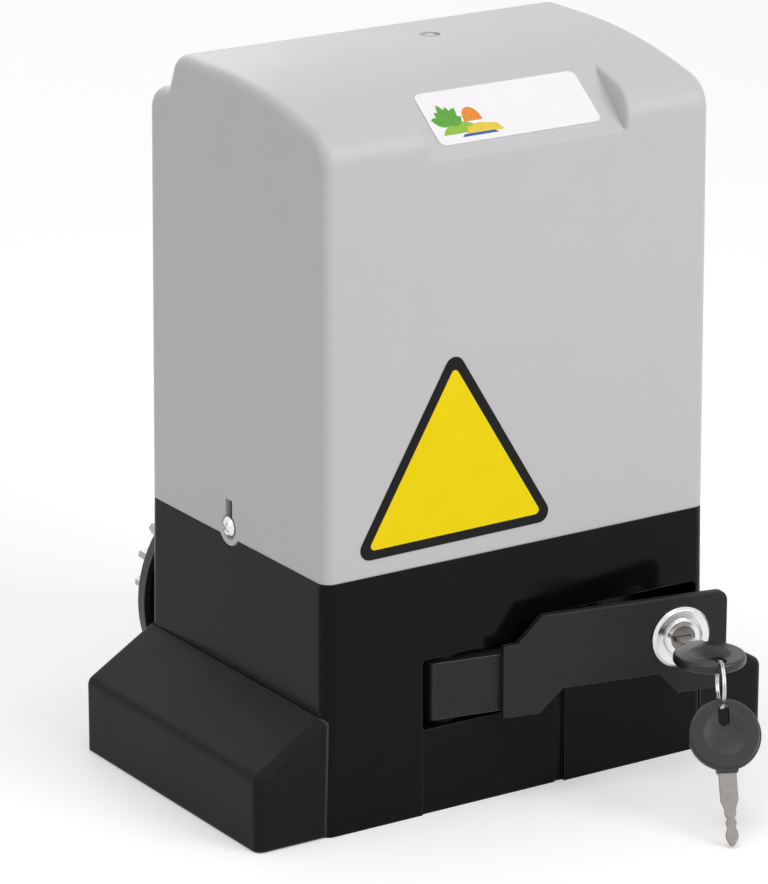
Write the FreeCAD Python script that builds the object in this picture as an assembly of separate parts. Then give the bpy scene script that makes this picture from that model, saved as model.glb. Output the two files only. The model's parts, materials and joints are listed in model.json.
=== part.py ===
import FreeCAD, Part
import math
import os

# Sliding gate motor.  Millimetres, +Z up.
# Origin: centre of the gear housing's footprint, on the ground.
# -Y is the front with the release lever, +Y is the rear with the rack pinion.

os.makedirs("parts", exist_ok=True)

# ---------------------------------------------------------------- driving dimensions
BODY_W = 205.0            # gear housing, along X at the ground
BODY_D = 150.0            # gear housing, along Y at the ground
SEAM_Z = 116.0            # top edge of the gear housing, bottom edge of the cover
TOP_Z = 325.0             # crown of the cover
OVERALL_W = 272.0         # over both foot covers
HOUSING_DRAFT = 0.0112    # mm per mm of height
COVER_DRAFT = 0.005
CORNER_R = 5.5            # upright corners and top edges of the casings
COVER_WALL = 3.0
SLIDE_GAP = 0.3           # between casings that lift off one another

SHAFT_X = -43.0           # output shaft axis, parallel to Y
SHAFT_Z = 60.0
WORM_MODULE = 2.5
WORM_PITCH_R = 12.5
WHEEL_TEETH = 30
WHEEL_WIDTH = 22.0
MESH_Y = -8.0             # middle plane of the worm wheel
BACKLASH = 0.35           # taken off each worm wheel tooth
PINION_MODULE = 4.0
PINION_TEETH = 20
PINION_Y = (91.0, 113.0)
GUARD_R = 57.0
GUARD_Y = (82.5, 89.0)

LEVER_OPEN = 10.5         # lever angle of this pose, degrees from shut
PIVOT_X = -35.0           # upright pivot of the release lever
PIVOT_Y = -62.5
CAM_BASE = 6.5            # lever cam: distance pivot to rod when shut
CAM_RISE = 2.55           # cam rise in mm per radian of lever travel
LOCK_X = 75.6             # lock axis with the lever shut
LOCK_Z = 66.6

FOOT_SHOULDER_Z = 34.5    # foot cover: top of its upright outer wall
FOOT_TOP_Z = 55.0         # foot cover: where its slope meets the housing

# ---------------------------------------------------------------- derived dimensions
WHEEL_PITCH_R = WORM_MODULE * WHEEL_TEETH / 2
WORM_X = SHAFT_X + WHEEL_PITCH_R + WORM_PITCH_R
SEAM_HALF_W = BODY_W / 2 - HOUSING_DRAFT * SEAM_Z
SEAM_HALF_D = BODY_D / 2 - HOUSING_DRAFT * SEAM_Z
X_AXIS = FreeCAD.Vector(1, 0, 0)
Y_AXIS = FreeCAD.Vector(0, 1, 0)
Z_AXIS = FreeCAD.Vector(0, 0, 1)


# ---------------------------------------------------------------- general helpers
def vec(x, y, z):
    return FreeCAD.Vector(x, y, z)


def box(x, y, z):
    """Block from (low, high) pairs."""
    return Part.makeBox(x[1] - x[0], y[1] - y[0], z[1] - z[0], vec(x[0], y[0], z[0]))


def rod(radius, start, end):
    """Cylinder between two points."""
    a = vec(*start)
    run = vec(*end) - a
    return Part.makeCylinder(radius, run.Length, a, run)


def ring(outer, inner, start, end):
    return rod(outer, start, end).cut(rod(inner, start, end))


def fused(shapes):
    whole = shapes[0]
    for shape in shapes[1:]:
        whole = whole.fuse(shape)
    return whole.removeSplitter()


def outline(points, place):
    """Closed wire through (u, v, corner radius) points, each corner a tangent arc."""
    edges = []
    previous_end = None
    first_start = None
    count = len(points)
    for i, (u, v, radius) in enumerate(points):
        before = points[i - 1]
        after = points[(i + 1) % count]
        back = (before[0] - u, before[1] - v)
        ahead = (after[0] - u, after[1] - v)
        back_len = math.hypot(*back)
        ahead_len = math.hypot(*ahead)
        back = (back[0] / back_len, back[1] / back_len)
        ahead = (ahead[0] / ahead_len, ahead[1] / ahead_len)
        if radius <= 0:
            start = end = (u, v)
        else:
            half = math.acos(back[0] * ahead[0] + back[1] * ahead[1]) / 2
            trim = radius / math.tan(half)
            start = (u + back[0] * trim, v + back[1] * trim)
            end = (u + ahead[0] * trim, v + ahead[1] * trim)
            middle_dir = (back[0] + ahead[0], back[1] + ahead[1])
            middle_len = math.hypot(*middle_dir)
            reach = radius / math.sin(half) - radius
            middle = (u + middle_dir[0] / middle_len * reach, v + middle_dir[1] / middle_len * reach)
        if previous_end is not None:
            edges.append(Part.LineSegment(place(*previous_end), place(*start)).toShape())
        else:
            first_start = start
        if radius > 0:
            edges.append(Part.Arc(place(*start), place(*middle), place(*end)).toShape())
        previous_end = end
    edges.append(Part.LineSegment(place(*previous_end), place(*first_start)).toShape())
    return Part.Wire(edges)


def prism_x(points, low, high):
    """Prism along X of a (y, z, radius) outline."""
    face = Part.Face(outline(points, lambda u, v: vec(low, u, v)))
    return face.extrude(vec(high - low, 0, 0))


def prism_y(points, low, high):
    """Prism along Y of an (x, z, radius) outline."""
    face = Part.Face(outline(points, lambda u, v: vec(u, low, v)))
    return face.extrude(vec(0, high - low, 0))


def prism_z(points, low, high):
    """Prism along Z of an (x, y, radius) outline."""
    face = Part.Face(outline(points, lambda u, v: vec(u, v, low)))
    return face.extrude(vec(0, 0, high - low))


def rectangle(u, v, radius):
    return [(u[0], v[0], radius), (u[1], v[0], radius), (u[1], v[1], radius), (u[0], v[1], radius)]


def turned(points, origin, axis):
    """Solid of revolution about a line from (radius, distance along the line) points."""
    if abs(axis.z) > 0.5:
        place = lambda u, v: origin + X_AXIS * u + axis * v
    else:
        place = lambda u, v: origin + Z_AXIS * u + axis * v
    wire = Part.makePolygon([place(u, v) for u, v in points + points[:1]])
    return Part.Face(wire).revolve(origin, axis, 360)


def inset_outline(points, gap):
    """Move every side of a counter-clockwise (u, v, radius) outline inwards by gap."""
    count = len(points)
    lines = []
    for i in range(count):
        a = points[i]
        b = points[(i + 1) % count]
        length = math.hypot(b[0] - a[0], b[1] - a[1])
        d = ((b[0] - a[0]) / length, (b[1] - a[1]) / length)
        lines.append(((a[0] - d[1] * gap, a[1] + d[0] * gap), d))
    moved = []
    for i in range(count):
        (p, d), (q, e) = lines[i - 1], lines[i]
        cross = d[0] * e[1] - d[1] * e[0]
        t = ((q[0] - p[0]) * e[1] - (q[1] - p[1]) * e[0]) / cross
        radius = points[i][2]
        if radius > 0:
            radius = radius - gap if cross > 0 else radius + gap
        moved.append((p[0] + d[0] * t, p[1] + d[1] * t, max(radius, 0)))
    return moved


def hex_head(across, start, end):
    """Hexagonal prism between two points."""
    a = vec(*start)
    run = vec(*end) - a
    side = X_AXIS if abs(run.x) < 1e-6 else Y_AXIS
    other = run.cross(side)
    other.normalize()
    reach = across / math.sqrt(3)
    corners = []
    for i in range(7):
        angle = math.radians(60 * i)
        corners.append(a + side * reach * math.cos(angle) + other * reach * math.sin(angle))
    return Part.Face(Part.makePolygon(corners)).extrude(run)


def around(count, radius, first=0.0):
    """Points on a circle as (u, v) pairs."""
    for i in range(count):
        angle = math.radians(first + 360.0 * i / count)
        yield radius * math.cos(angle), radius * math.sin(angle)


def edges_where(shape, test):
    return [edge for edge in shape.Edges if test(edge)]


# ---------------------------------------------------------------- gear housing
POCKET_FLOOR_Y = -47.0
POCKET = [                # lever pocket seen from the front: x, z, corner radius
    (-51.2, 39.6, 2.0), (12.6, 39.6, 3.0), (24.6, 53.0, 3.0), (63.6, 53.0, 3.0),
    (73.6, 43.0, 3.0), (96.6, 43.0, 3.0), (96.6, 81.3, 3.0), (14.6, 81.3, 3.0),
    (4.6, 72.2, 3.0), (-51.2, 72.2, 2.0),
]
CASE_R = 41.5             # worm wheel chamber
CASE_Y = (-24.0, 66.0)
CASE_COVER_R = 51.5
BEARING_OUT_R = 23.5      # 20 x 47 x 14 ball bearing on the output shaft
BEARING_BORE_R = 10.0
BEARING_W = 14.0
FRONT_BEARING_Y = (-42.0, -28.0)
REAR_BEARING_Y = (56.0, 70.0)
SPRING_SEAT_Y = (54.2, 55.9)
WORM_BORE_R = 17.5        # takes 15 x 35 x 11 ball bearings
LOW_BEARING_Z = (14.0, 25.0)
TOP_BEARING_Z = (246.0, 257.0)
MOTOR_BOLT_R = 44.0        # through bolts of the motor
HIGH_BEARING_Z = (100.0, 111.0)
DUCT_X = 80.0             # cable duct from the ground up into the cover
DUCT_Y = 20.0
DUCT_R = 12.5
FLANGE_H = 8.0
FLANGE_REACH = 130.0
SLOT_X = 117.0
SLOT_Y = 45.0
SLOT_HALF_W = 5.5
SLOT_LENGTH = 24.0
EAR_Y = 5.0               # side fixing of the cover
EAR_Z = 120.5
SLOT_HALF = 2.5
EAR_R = 9.0


def drafted_block(low_z, high_z, gap=0.0, radius=CORNER_R):
    """Housing body between two heights, its walls moved in by gap."""
    sections = []
    for z in (low_z, high_z):
        half_w = BODY_W / 2 - HOUSING_DRAFT * z - gap
        half_d = BODY_D / 2 - HOUSING_DRAFT * z - gap
        corners = rectangle((-half_w, half_w), (-half_d, half_d), radius)
        sections.append(outline(corners, lambda u, v: vec(u, v, z)))
    return Part.makeLoft(sections, True, True)


def slot_hole(x, y, z, half_w, length):
    """Upright slot along Y."""
    run = length / 2 - half_w
    return fused([
        box((x - half_w, x + half_w), (y - run, y + run), z),
        rod(half_w, (x, y - run, z[0]), (x, y - run, z[1])),
        rod(half_w, (x, y + run, z[0]), (x, y + run, z[1])),
    ])


def base_housing():
    body = drafted_block(0, SEAM_Z)

    # sunk panel under the pocket, closed on its right by a narrow groove
    front_y = -BODY_D / 2
    body = body.cut(box((-51.2, 20.1), (front_y - 1, front_y + 1.0), (-1, 39.6)))
    body = body.cut(box((20.1, 24.6), (front_y - 1, front_y + 1.9), (-1, 48.0)))

    # lever pocket with the notch that the lock's cam turns into
    body = body.cut(prism_y(POCKET, front_y - 1, POCKET_FLOOR_Y))
    body = body.cut(box((95.6, 99.7), (-55.5, -49.5), (60.5, 72.5)))
    # pivot pin bore, from below the pocket up into its roof
    body = body.cut(rod(4.02, (PIVOT_X, PIVOT_Y, 30), (PIVOT_X, PIVOT_Y, 84)))

    # spigot that the cover drops over, and the two threaded ears
    rim = drafted_block(SEAM_Z, SEAM_Z + 6, COVER_WALL + SLIDE_GAP, 5)
    rim = rim.cut(drafted_block(SEAM_Z - 1, SEAM_Z + 7, COVER_WALL + 3.2, 3))
    body = body.fuse(rim)
    for side in (-1, 1):
        outer = side * (SEAM_HALF_W - COVER_WALL - 0.6)
        inner = side * (SEAM_HALF_W - 13)
        x = sorted((outer, inner))
        body = body.fuse(box(x, (EAR_Y - 13, EAR_Y + 13), (SEAM_Z - 2, EAR_Z + 12)))
        # round notch for the cover's tab
        tab = sorted((side * (SEAM_HALF_W - COVER_WALL - 0.6), side * (SEAM_HALF_W + 5)))
        body = body.cut(rod(EAR_R, (tab[0], EAR_Y, EAR_Z), (tab[1], EAR_Y, EAR_Z)))
        x = sorted((side * (SEAM_HALF_W - 14), side * (SEAM_HALF_W + 5)))
        # open-topped slot, so that the cover lifts off with its loosened screws
        body = body.cut(rod(SLOT_HALF, (x[0], EAR_Y, EAR_Z), (x[1], EAR_Y, EAR_Z)))
        body = body.cut(box(x, (EAR_Y - SLOT_HALF, EAR_Y + SLOT_HALF), (EAR_Z, EAR_Z + 13)))

    # mounting flange on each side with two slots
    for side in (-1, 1):
        x = sorted((side * (BODY_W / 2 - 6), side * FLANGE_REACH))
        body = body.fuse(prism_z(rectangle(x, (-66, 66), 4), 0, FLANGE_H))
        for y in (-60, 0, 60):
            web = [(side * 99, 3), (side * 120, 3), (side * 99, 30)]
            wire = Part.makePolygon([vec(u, y - 2.5, v + 3) for u, v in web + web[:1]])
            body = body.fuse(Part.Face(wire).extrude(vec(0, 5, 0)))
        for y in (-SLOT_Y, SLOT_Y):
            body = body.cut(slot_hole(side * SLOT_X, y, (-1, FLANGE_H + 1), SLOT_HALF_W, SLOT_LENGTH))

    # worm wheel chamber, open to the rear, with a seat for its cover
    axis = (SHAFT_X, SHAFT_Z)
    for radius, low, high in (
        (BEARING_OUT_R, FRONT_BEARING_Y[0], FRONT_BEARING_Y[1] + 5),
        (CASE_R, CASE_Y[0], CASE_Y[1] + 1),
        (CASE_COVER_R + 0.15, CASE_Y[1], BODY_D / 2 + 1),
        (4.3, -60, FRONT_BEARING_Y[0] + 1),
    ):
        body = body.cut(rod(radius, (axis[0], low, axis[1]), (axis[0], high, axis[1])))
    for dx, dz in around(6, 46.5, 30):
        x = SHAFT_X + dx
        z = SHAFT_Z + dz
        body = body.cut(rod(1.65, (x, 52, z), (x, 68, z)))

    # upright bore for the worm
    body = body.cut(rod(WORM_BORE_R, (WORM_X, MESH_Y, LOW_BEARING_Z[0]), (WORM_X, MESH_Y, SEAM_Z + 1)))
    # tapped holes of the motor's lower end shield
    for dx, dy in around(4, MOTOR_BOLT_R, 45):
        x = WORM_X + dx
        y = MESH_Y + dy
        body = body.cut(rod(2.1, (x, y, 102), (x, y, SEAM_Z + 1)))

    # cable duct
    body = body.cut(rod(DUCT_R, (DUCT_X - 6, DUCT_Y + 6, -1), (DUCT_X - 6, DUCT_Y + 6, SEAM_Z + 1)))
    return body


# ---------------------------------------------------------------- cover
SCREW_SEAT = 1.5                # depth of the counterbore that takes each screw's head
COVER_PROFILE = [         # counter-clockwise from the right: y, z, corner radius
    (-SEAM_HALF_D, SEAM_Z, 0), (SEAM_HALF_D, SEAM_Z, 0),
    (SEAM_HALF_D - COVER_DRAFT * 190, 306.0, 10.5), (57.5, 307.5, 4.0),
    (50.5, TOP_Z, 10.0), (-18.5, TOP_Z, 300.0),
    (-SEAM_HALF_D + COVER_DRAFT * 194, 310.6, 15.5),
]
LABEL_FOOT = (-72.6, 294.8)    # lower edge of the label's floor on the front face: y, z
LABEL_SLOPE = 37.6              # of that floor, in degrees
LABEL_RUN = 52.0
LABEL_HIGH = 16.0
LABEL_MID = 3.8                 # middle of the recess, x
LABEL_HALF = 50.4
LABEL_SPLAY = 0.118             # half width gained per millimetre up the floor
LABEL_DRAFT = 5.0
LABEL_RIM_R = 1.8
CORE_X = 14.0                   # small moulded dimple on the crown
CORE_Y = 20.0


def cover_body(gap, side_radius):
    """Arched block with a stepped rear; gap moves all its walls inwards."""
    profile = inset_outline(COVER_PROFILE, gap) if gap else COVER_PROFILE
    if gap:
        profile[0] = (profile[0][0], SEAM_Z - 2, 0)
        profile[1] = (profile[1][0], SEAM_Z - 2, 0)
    half = SEAM_HALF_W - gap
    body = prism_x(profile, -half - 2, half + 2)
    drift = COVER_DRAFT * 240
    for side in (-1, 1):
        wedge = Part.makePolygon([
            vec(side * (half + COVER_DRAFT * 6), -120, SEAM_Z - 6), vec(side * (half + 30), -120, SEAM_Z - 6),
            vec(side * (half + 30), -120, SEAM_Z + 240), vec(side * (half - drift), -120, SEAM_Z + 240),
            vec(side * (half + COVER_DRAFT * 6), -120, SEAM_Z - 6),
        ])
        body = body.cut(Part.Face(wedge).extrude(vec(0, 240, 0)))
    chain = []
    for edge in body.Edges:
        ends = [edge.valueAt(edge.FirstParameter), edge.valueAt(edge.LastParameter)]
        middle = edge.valueAt((edge.FirstParameter + edge.LastParameter) / 2)
        on_side = all(abs(abs(p.x) - (half - COVER_DRAFT * (p.z - SEAM_Z))) < 0.01 for p in ends + [middle])
        low = max(p.z for p in ends) < SEAM_Z + 1
        if on_side and not low:
            chain.append(edge)
    return body.makeFillet(side_radius, chain)


def label_block(wider, low):
    """Wedge over the label's sloping floor, its end walls splayed; low is its underside, from the floor."""
    slope = math.radians(LABEL_SLOPE)
    along = vec(0, math.cos(slope), math.sin(slope))
    out = vec(0, -math.sin(slope), math.cos(slope))
    foot = vec(0, LABEL_FOOT[0], LABEL_FOOT[1])
    sections = []
    for height in (low, LABEL_HIGH):
        more = wider + max(height, 0) * math.tan(math.radians(LABEL_DRAFT))
        corners = []
        for x, s in ((-1, -10), (1, -10), (1, LABEL_RUN), (-1, LABEL_RUN)):
            half = LABEL_HALF + s * LABEL_SPLAY + more
            corners.append(foot + along * s + out * height + X_AXIS * (LABEL_MID + x * half))
        sections.append(Part.makePolygon(corners + corners[:1]))
    return Part.makeLoft(sections, True, True)


def round_label_rim(shell):
    """Round the upper edges of the label recess's two end walls."""
    slope = math.radians(LABEL_SLOPE)
    out = vec(0, -math.sin(slope), math.cos(slope))
    foot = vec(0, LABEL_FOOT[0], LABEL_FOOT[1])

    def on_rim(edge):
        middle = edge.valueAt((edge.FirstParameter + edge.LastParameter) / 2)
        off = middle - foot
        s = off.dot(vec(0, math.cos(slope), math.sin(slope)))
        height = off.dot(out)
        half = LABEL_HALF + s * LABEL_SPLAY + height * math.tan(math.radians(LABEL_DRAFT))
        on_wall = abs(abs(middle.x - LABEL_MID) - half) < 0.05
        return on_wall and height > 0.6 and edge.Length > 3

    return shell.makeFillet(LABEL_RIM_R, edges_where(shell, on_rim))


def cover_shell():
    shell = cover_body(0, CORNER_R).cut(cover_body(COVER_WALL, CORNER_R - COVER_WALL))

    # flat recess across the front curve for a label, with a backing so that the wall stays whole
    shell = shell.fuse(label_block(COVER_WALL, -COVER_WALL).common(cover_body(0, CORNER_R)))
    shell = shell.cut(label_block(0, 0))
    shell = round_label_rim(shell)

    # dimple of the moulding gate on the crown
    shell = shell.cut(rod(4.5, (CORE_X, CORE_Y, TOP_Z - 0.9), (CORE_X, CORE_Y, TOP_Z + 1)))
    shell = shell.fuse(turned([(0, -1.2), (2.6, -1.2), (2.2, -0.3), (1.2, 0.1), (0, 0.2)],
                              vec(CORE_X, CORE_Y, TOP_Z), Z_AXIS))

    # keyhole slots over the two side screws, with a rounded tab below each
    for side in (-1, 1):
        x = sorted((side * (SEAM_HALF_W - COVER_WALL - 0.05), side * (SEAM_HALF_W - 0.02)))
        tab = rod(EAR_R - 0.4, (x[0], EAR_Y, EAR_Z), (x[1], EAR_Y, EAR_Z))
        shell = shell.fuse(tab.common(box(x, (EAR_Y - 12, EAR_Y + 12), (100, SEAM_Z + 3))))
        x = sorted((side * (SEAM_HALF_W - 9), side * (SEAM_HALF_W + 4)))
        bearing = side * (SEAM_HALF_W - SCREW_SEAT)
        shell = shell.cut(rod(2.7, (x[0], EAR_Y, EAR_Z), (x[1], EAR_Y, EAR_Z)))
        shell = shell.cut(rod(5.6, (bearing, EAR_Y, EAR_Z), (side * (SEAM_HALF_W + 4), EAR_Y, EAR_Z)))
        shell = shell.cut(box(x, (EAR_Y - 2.6, EAR_Y + 2.6), (EAR_Z, EAR_Z + 12.5)))
    # stiffening ribs inside the side walls
    for side in (-1, 1):
        for y in (-45, 40):
            x = sorted((side * (SEAM_HALF_W - 7), side * (SEAM_HALF_W - 2)))
            rib = box(x, (y - 1, y + 1), (SEAM_Z + 14, 285))
            shell = shell.fuse(rib.common(cover_body(1.0, CORNER_R - 1)))
    return shell.removeSplitter()


# ---------------------------------------------------------------- foot covers
FOOT_HALF_D = 74.0
FOOT_EDGE_R = 4.0


def foot_block(gap):
    """Left foot cover's outer form with its walls moved in by gap."""
    slope = (FOOT_TOP_Z - FOOT_SHOULDER_Z) / (OVERALL_W / 2 - 101.5)
    outer = -OVERALL_W / 2 + gap
    inner = -BODY_W / 2 + HOUSING_DRAFT * 30 - 0.3
    lean = gap * (math.sqrt(1 + slope * slope) - slope)
    profile = [
        (outer, 0.5, 0), (inner + 10, 0.5, 0),
        (inner + 10, FOOT_TOP_Z + slope * 10 - gap * math.sqrt(1 + slope * slope), 0),
        (outer, FOOT_SHOULDER_Z - lean, FOOT_EDGE_R + 1 - gap),
    ]
    block = prism_y(profile, -FOOT_HALF_D + gap, FOOT_HALF_D + 1 - gap)
    return block, outer, inner


def foot_cover(side):
    block, outer, inner = foot_block(0)
    # one run of rounded edge round each end: up the outer wall, over the shoulder and along the slope
    ends = (-FOOT_HALF_D, FOOT_HALF_D + 1)
    rims = edges_where(block, lambda e: min(abs(e.CenterOfMass.y - end) for end in ends) < 0.01
                       and e.CenterOfMass.z > 1 and e.CenterOfMass.x < inner + 9)
    block = block.makeFillet(FOOT_EDGE_R, rims)
    hollow = foot_block(2.5)[0].cut(box((-200, 0), (-200, 200), (-10, 0.4)))
    hollow = hollow.fuse(box((outer + 2.5, 0), (-FOOT_HALF_D + 2.5, FOOT_HALF_D - 1.5), (-1, 20)))
    shell = block.cut(hollow)
    shell = shell.cut(drafted_block(-1, SEAM_Z, -0.25))
    shell = shell.common(box((-200, -BODY_W / 2 + 3), (-200, 200), (0, 80)))
    if side > 0:
        shell = shell.mirror(vec(0, 0, 0), X_AXIS)
    return shell


# ---------------------------------------------------------------- worm drive
def worm_thread():
    """One-start thread whose gap faces the wheel tooth at the shaft's height."""
    pitch = math.pi * WORM_MODULE
    root = WORM_PITCH_R - 1.2 * WORM_MODULE
    tip = WORM_PITCH_R + WORM_MODULE
    turns = 6.0
    low = SHAFT_Z - turns / 2 * pitch
    flank = math.tan(math.radians(20))
    half_at = lambda r: pitch / 4 - 0.12 - (r - WORM_PITCH_R) * flank
    base = root - 0.4
    # the helix starts on the side away from the wheel, at angle 0 about Z
    helix = Part.makeHelix(pitch, turns * pitch, WORM_PITCH_R)
    section = Part.makePolygon([
        vec(base, 0, -half_at(base)), vec(tip, 0, -half_at(tip)), vec(tip, 0, half_at(tip)),
        vec(base, 0, half_at(base)), vec(base, 0, -half_at(base)),
    ])
    thread = Part.Wire(helix.Edges).makePipeShell([section], True, True)
    # at angle 180 degrees the thread stands half a pitch higher: a thread gap lies at SHAFT_Z
    thread.translate(vec(WORM_X, MESH_Y, low))
    return thread


def rotor_shaft():
    steps = [(7.48, 14.3, 27), (9.5, 27, 98), (7.48, 98, 256)]
    shaft = fused([rod(r, (WORM_X, MESH_Y, a), (WORM_X, MESH_Y, b)) for r, a, b in steps])
    thread = worm_thread()
    return shaft.fuse(thread)


def gear_sector(teeth, root, pitch_r, tip, half_root, half_pitch, half_tip, turn, place):
    """Closed outline of a gear: straight-flanked teeth given as half angles."""
    points = []
    step = 2 * math.pi / teeth
    for i in range(teeth):
        middle = i * step + turn
        for radius, half in ((root, -half_root), (pitch_r, -half_pitch), (tip, -half_tip),
                             (tip, half_tip), (pitch_r, half_pitch), (root, half_root)):
            points.append(place(radius * math.cos(middle + half), radius * math.sin(middle + half)))
    return Part.makePolygon(points + points[:1])


def worm_wheel():
    m = WORM_MODULE
    pitch = math.pi * m
    root = WHEEL_PITCH_R - 1.2 * m
    tip = WHEEL_PITCH_R + 0.95 * m
    flank = math.tan(math.radians(20))
    half_at = lambda r: (pitch / 4 - BACKLASH - (r - WHEEL_PITCH_R) * flank) / r
    sections = []
    for y in (-WHEEL_WIDTH / 2, WHEEL_WIDTH / 2):
        turn = -y * (m / (2 * WORM_PITCH_R)) / WHEEL_PITCH_R
        place = lambda u, v: vec(SHAFT_X + u, MESH_Y + y, SHAFT_Z + v)
        sections.append(gear_sector(WHEEL_TEETH, root, WHEEL_PITCH_R, tip, half_at(root),
                                    half_at(WHEEL_PITCH_R), half_at(tip), turn, place))
    rim = Part.makeLoft(sections, True, True)
    centre = (SHAFT_X, MESH_Y, SHAFT_Z)
    low = MESH_Y - WHEEL_WIDTH / 2
    high = MESH_Y + WHEEL_WIDTH / 2
    # webs turned thinner than the rim
    for a, b in ((low - 1, low + 6), (high - 6, high + 1)):
        rim = rim.cut(ring(30, 19, (centre[0], a, centre[2]), (centre[0], b, centre[2])))
    wheel = rim.fuse(rod(16, (centre[0], low - 2, centre[2]), (centre[0], high + 2, centre[2])))
    wheel = wheel.cut(rod(12.03, (centre[0], low - 3, centre[2]), (centre[0], high + 3, centre[2])))
    # three dogs on the hub face that the clutch ring drops between
    for i in range(3):
        sector = dog_sector(14.5, 25.0, 120 * i, 50, high - 6.5, high + 5.2)
        wheel = wheel.fuse(sector)
    return wheel


def dog_sector(inner, outer, middle, width, low, high):
    """Part of a ring about the shaft axis, centred on an angle in degrees."""
    start = math.radians(middle - width / 2)
    stop = math.radians(middle + width / 2)
    centre = math.radians(middle)
    at = lambda r, a: vec(SHAFT_X + r * math.cos(a), low, SHAFT_Z + r * math.sin(a))
    wire = Part.Wire([
        Part.LineSegment(at(inner, start), at(outer, start)).toShape(),
        Part.Arc(at(outer, start), at(outer, centre), at(outer, stop)).toShape(),
        Part.LineSegment(at(outer, stop), at(inner, stop)).toShape(),
        Part.Arc(at(inner, stop), at(inner, centre), at(inner, start)).toShape(),
    ])
    return Part.Face(wire).extrude(vec(0, high - low, 0))


# ---------------------------------------------------------------- output shaft and clutch
SHAFT_R = 10.0
ROD_R = 4.0
CLUTCH_Y = 10.5           # front face of the clutch ring's body, engaged and lever shut


def clutch_shift():
    return CAM_RISE * math.radians(LEVER_OPEN)


def along_shaft(radius, low, high):
    return rod(radius, (SHAFT_X, low, SHAFT_Z), (SHAFT_X, high, SHAFT_Z))


def output_shaft():
    shaft = fused([
        along_shaft(SHAFT_R - 0.03, -42.0, 127.0),
        along_shaft(13.5, -26.5, -21.5),
    ])
    # bore for the release rod and the slot that its cross pin slides in
    shaft = shaft.cut(along_shaft(ROD_R + 0.05, -43, 30))
    slot_y = CLUTCH_Y + 7
    slot = box((SHAFT_X - 2.6, SHAFT_X + 2.6), (slot_y - 3.2, slot_y + 8.5), (SHAFT_Z - 20, SHAFT_Z + 20))
    shaft = shaft.cut(slot)
    # keyway under the pinion
    shaft = shaft.cut(box((SHAFT_X - 3, SHAFT_X + 3), (93, 111), (SHAFT_Z + 6.5, SHAFT_Z + 11)))
    return shaft


def clutch_ring():
    low = CLUTCH_Y + clutch_shift()
    body = along_shaft(25, low, low + 14).cut(along_shaft(SHAFT_R + 0.05, low - 1, low + 15))
    for i in range(3):
        body = body.fuse(dog_sector(17.5, 25.0, 120 * i + 60, 55, low - 6, low + 0.5))
    hole = rod(2.51, (SHAFT_X, low + 7, SHAFT_Z - 26), (SHAFT_X, low + 7, SHAFT_Z + 26))
    return body.cut(hole)


def release_rod():
    front = PIVOT_Y + CAM_BASE + clutch_shift() + 0.25
    low = CLUTCH_Y + clutch_shift()
    stem = fused([along_shaft(8.0, front, front + 4), along_shaft(ROD_R, front + 3, low + 12)])
    hole = rod(2.51, (SHAFT_X, low + 7, SHAFT_Z - 26), (SHAFT_X, low + 7, SHAFT_Z + 26))
    return stem.cut(hole)


def cross_pin():
    y = CLUTCH_Y + clutch_shift() + 7
    return rod(2.5, (SHAFT_X, y, SHAFT_Z - 24), (SHAFT_X, y, SHAFT_Z + 24))


def coil_spring():
    """Compression spring between the clutch ring and its seat in front of the rear bearing."""
    low = CLUTCH_Y + clutch_shift() + 14.3
    high = SPRING_SEAT_Y[0] - 0.1
    coils = []
    count = 6
    pitch = (high - low - 3) / (count - 1)
    for i in range(count):
        coils.append(Part.makeTorus(14.5, 1.5, vec(SHAFT_X, low + 1.5 + i * pitch, SHAFT_Z), Y_AXIS))
    return Part.makeCompound(coils)


def pinion():
    m = PINION_MODULE
    teeth = PINION_TEETH
    pitch_r = m * teeth / 2
    pressure = math.radians(20)
    base_r = pitch_r * math.cos(pressure)
    involute = lambda a: math.tan(a) - a
    half_pitch = math.pi / (2 * teeth) - 0.002

    def half_at(radius):
        if radius <= base_r:
            return half_pitch + involute(pressure)
        return half_pitch + involute(pressure) - involute(math.acos(base_r / radius))

    radii = (pitch_r - 1.2 * m, pitch_r - 0.4 * m, pitch_r + 0.35 * m, pitch_r + m)
    points = []
    for i in range(teeth):
        middle = 2 * math.pi * i / teeth
        for radius in radii:
            angle = middle - half_at(radius)
            points.append(vec(SHAFT_X + radius * math.cos(angle), PINION_Y[0], SHAFT_Z + radius * math.sin(angle)))
        for radius in reversed(radii):
            angle = middle + half_at(radius)
            points.append(vec(SHAFT_X + radius * math.cos(angle), PINION_Y[0], SHAFT_Z + radius * math.sin(angle)))
    gear = Part.Face(Part.makePolygon(points + points[:1])).extrude(vec(0, PINION_Y[1] - PINION_Y[0], 0))
    gear = gear.cut(ring(32, 17, (SHAFT_X, PINION_Y[1] - 2.5, SHAFT_Z), (SHAFT_X, PINION_Y[1] + 1, SHAFT_Z)))
    gear = gear.cut(along_shaft(SHAFT_R, PINION_Y[0] - 1, PINION_Y[1] + 1))
    key_seat = box((SHAFT_X - 3, SHAFT_X + 3), (PINION_Y[0] - 1, PINION_Y[1] + 1), (SHAFT_Z + 6, SHAFT_Z + 13))
    return gear.cut(key_seat)


def pinion_key():
    return box((SHAFT_X - 2.98, SHAFT_X + 2.98), (93.2, 110.8), (SHAFT_Z + 6.6, SHAFT_Z + 12.8))


def pinion_washer():
    return ring(15, SHAFT_R, (SHAFT_X, 113, SHAFT_Z), (SHAFT_X, 115.5, SHAFT_Z))


def pinion_nut():
    nut = hex_head(30, (SHAFT_X, 115.5, SHAFT_Z), (SHAFT_X, 125, SHAFT_Z))
    return nut.cut(along_shaft(SHAFT_R, 114, 126))


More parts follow.
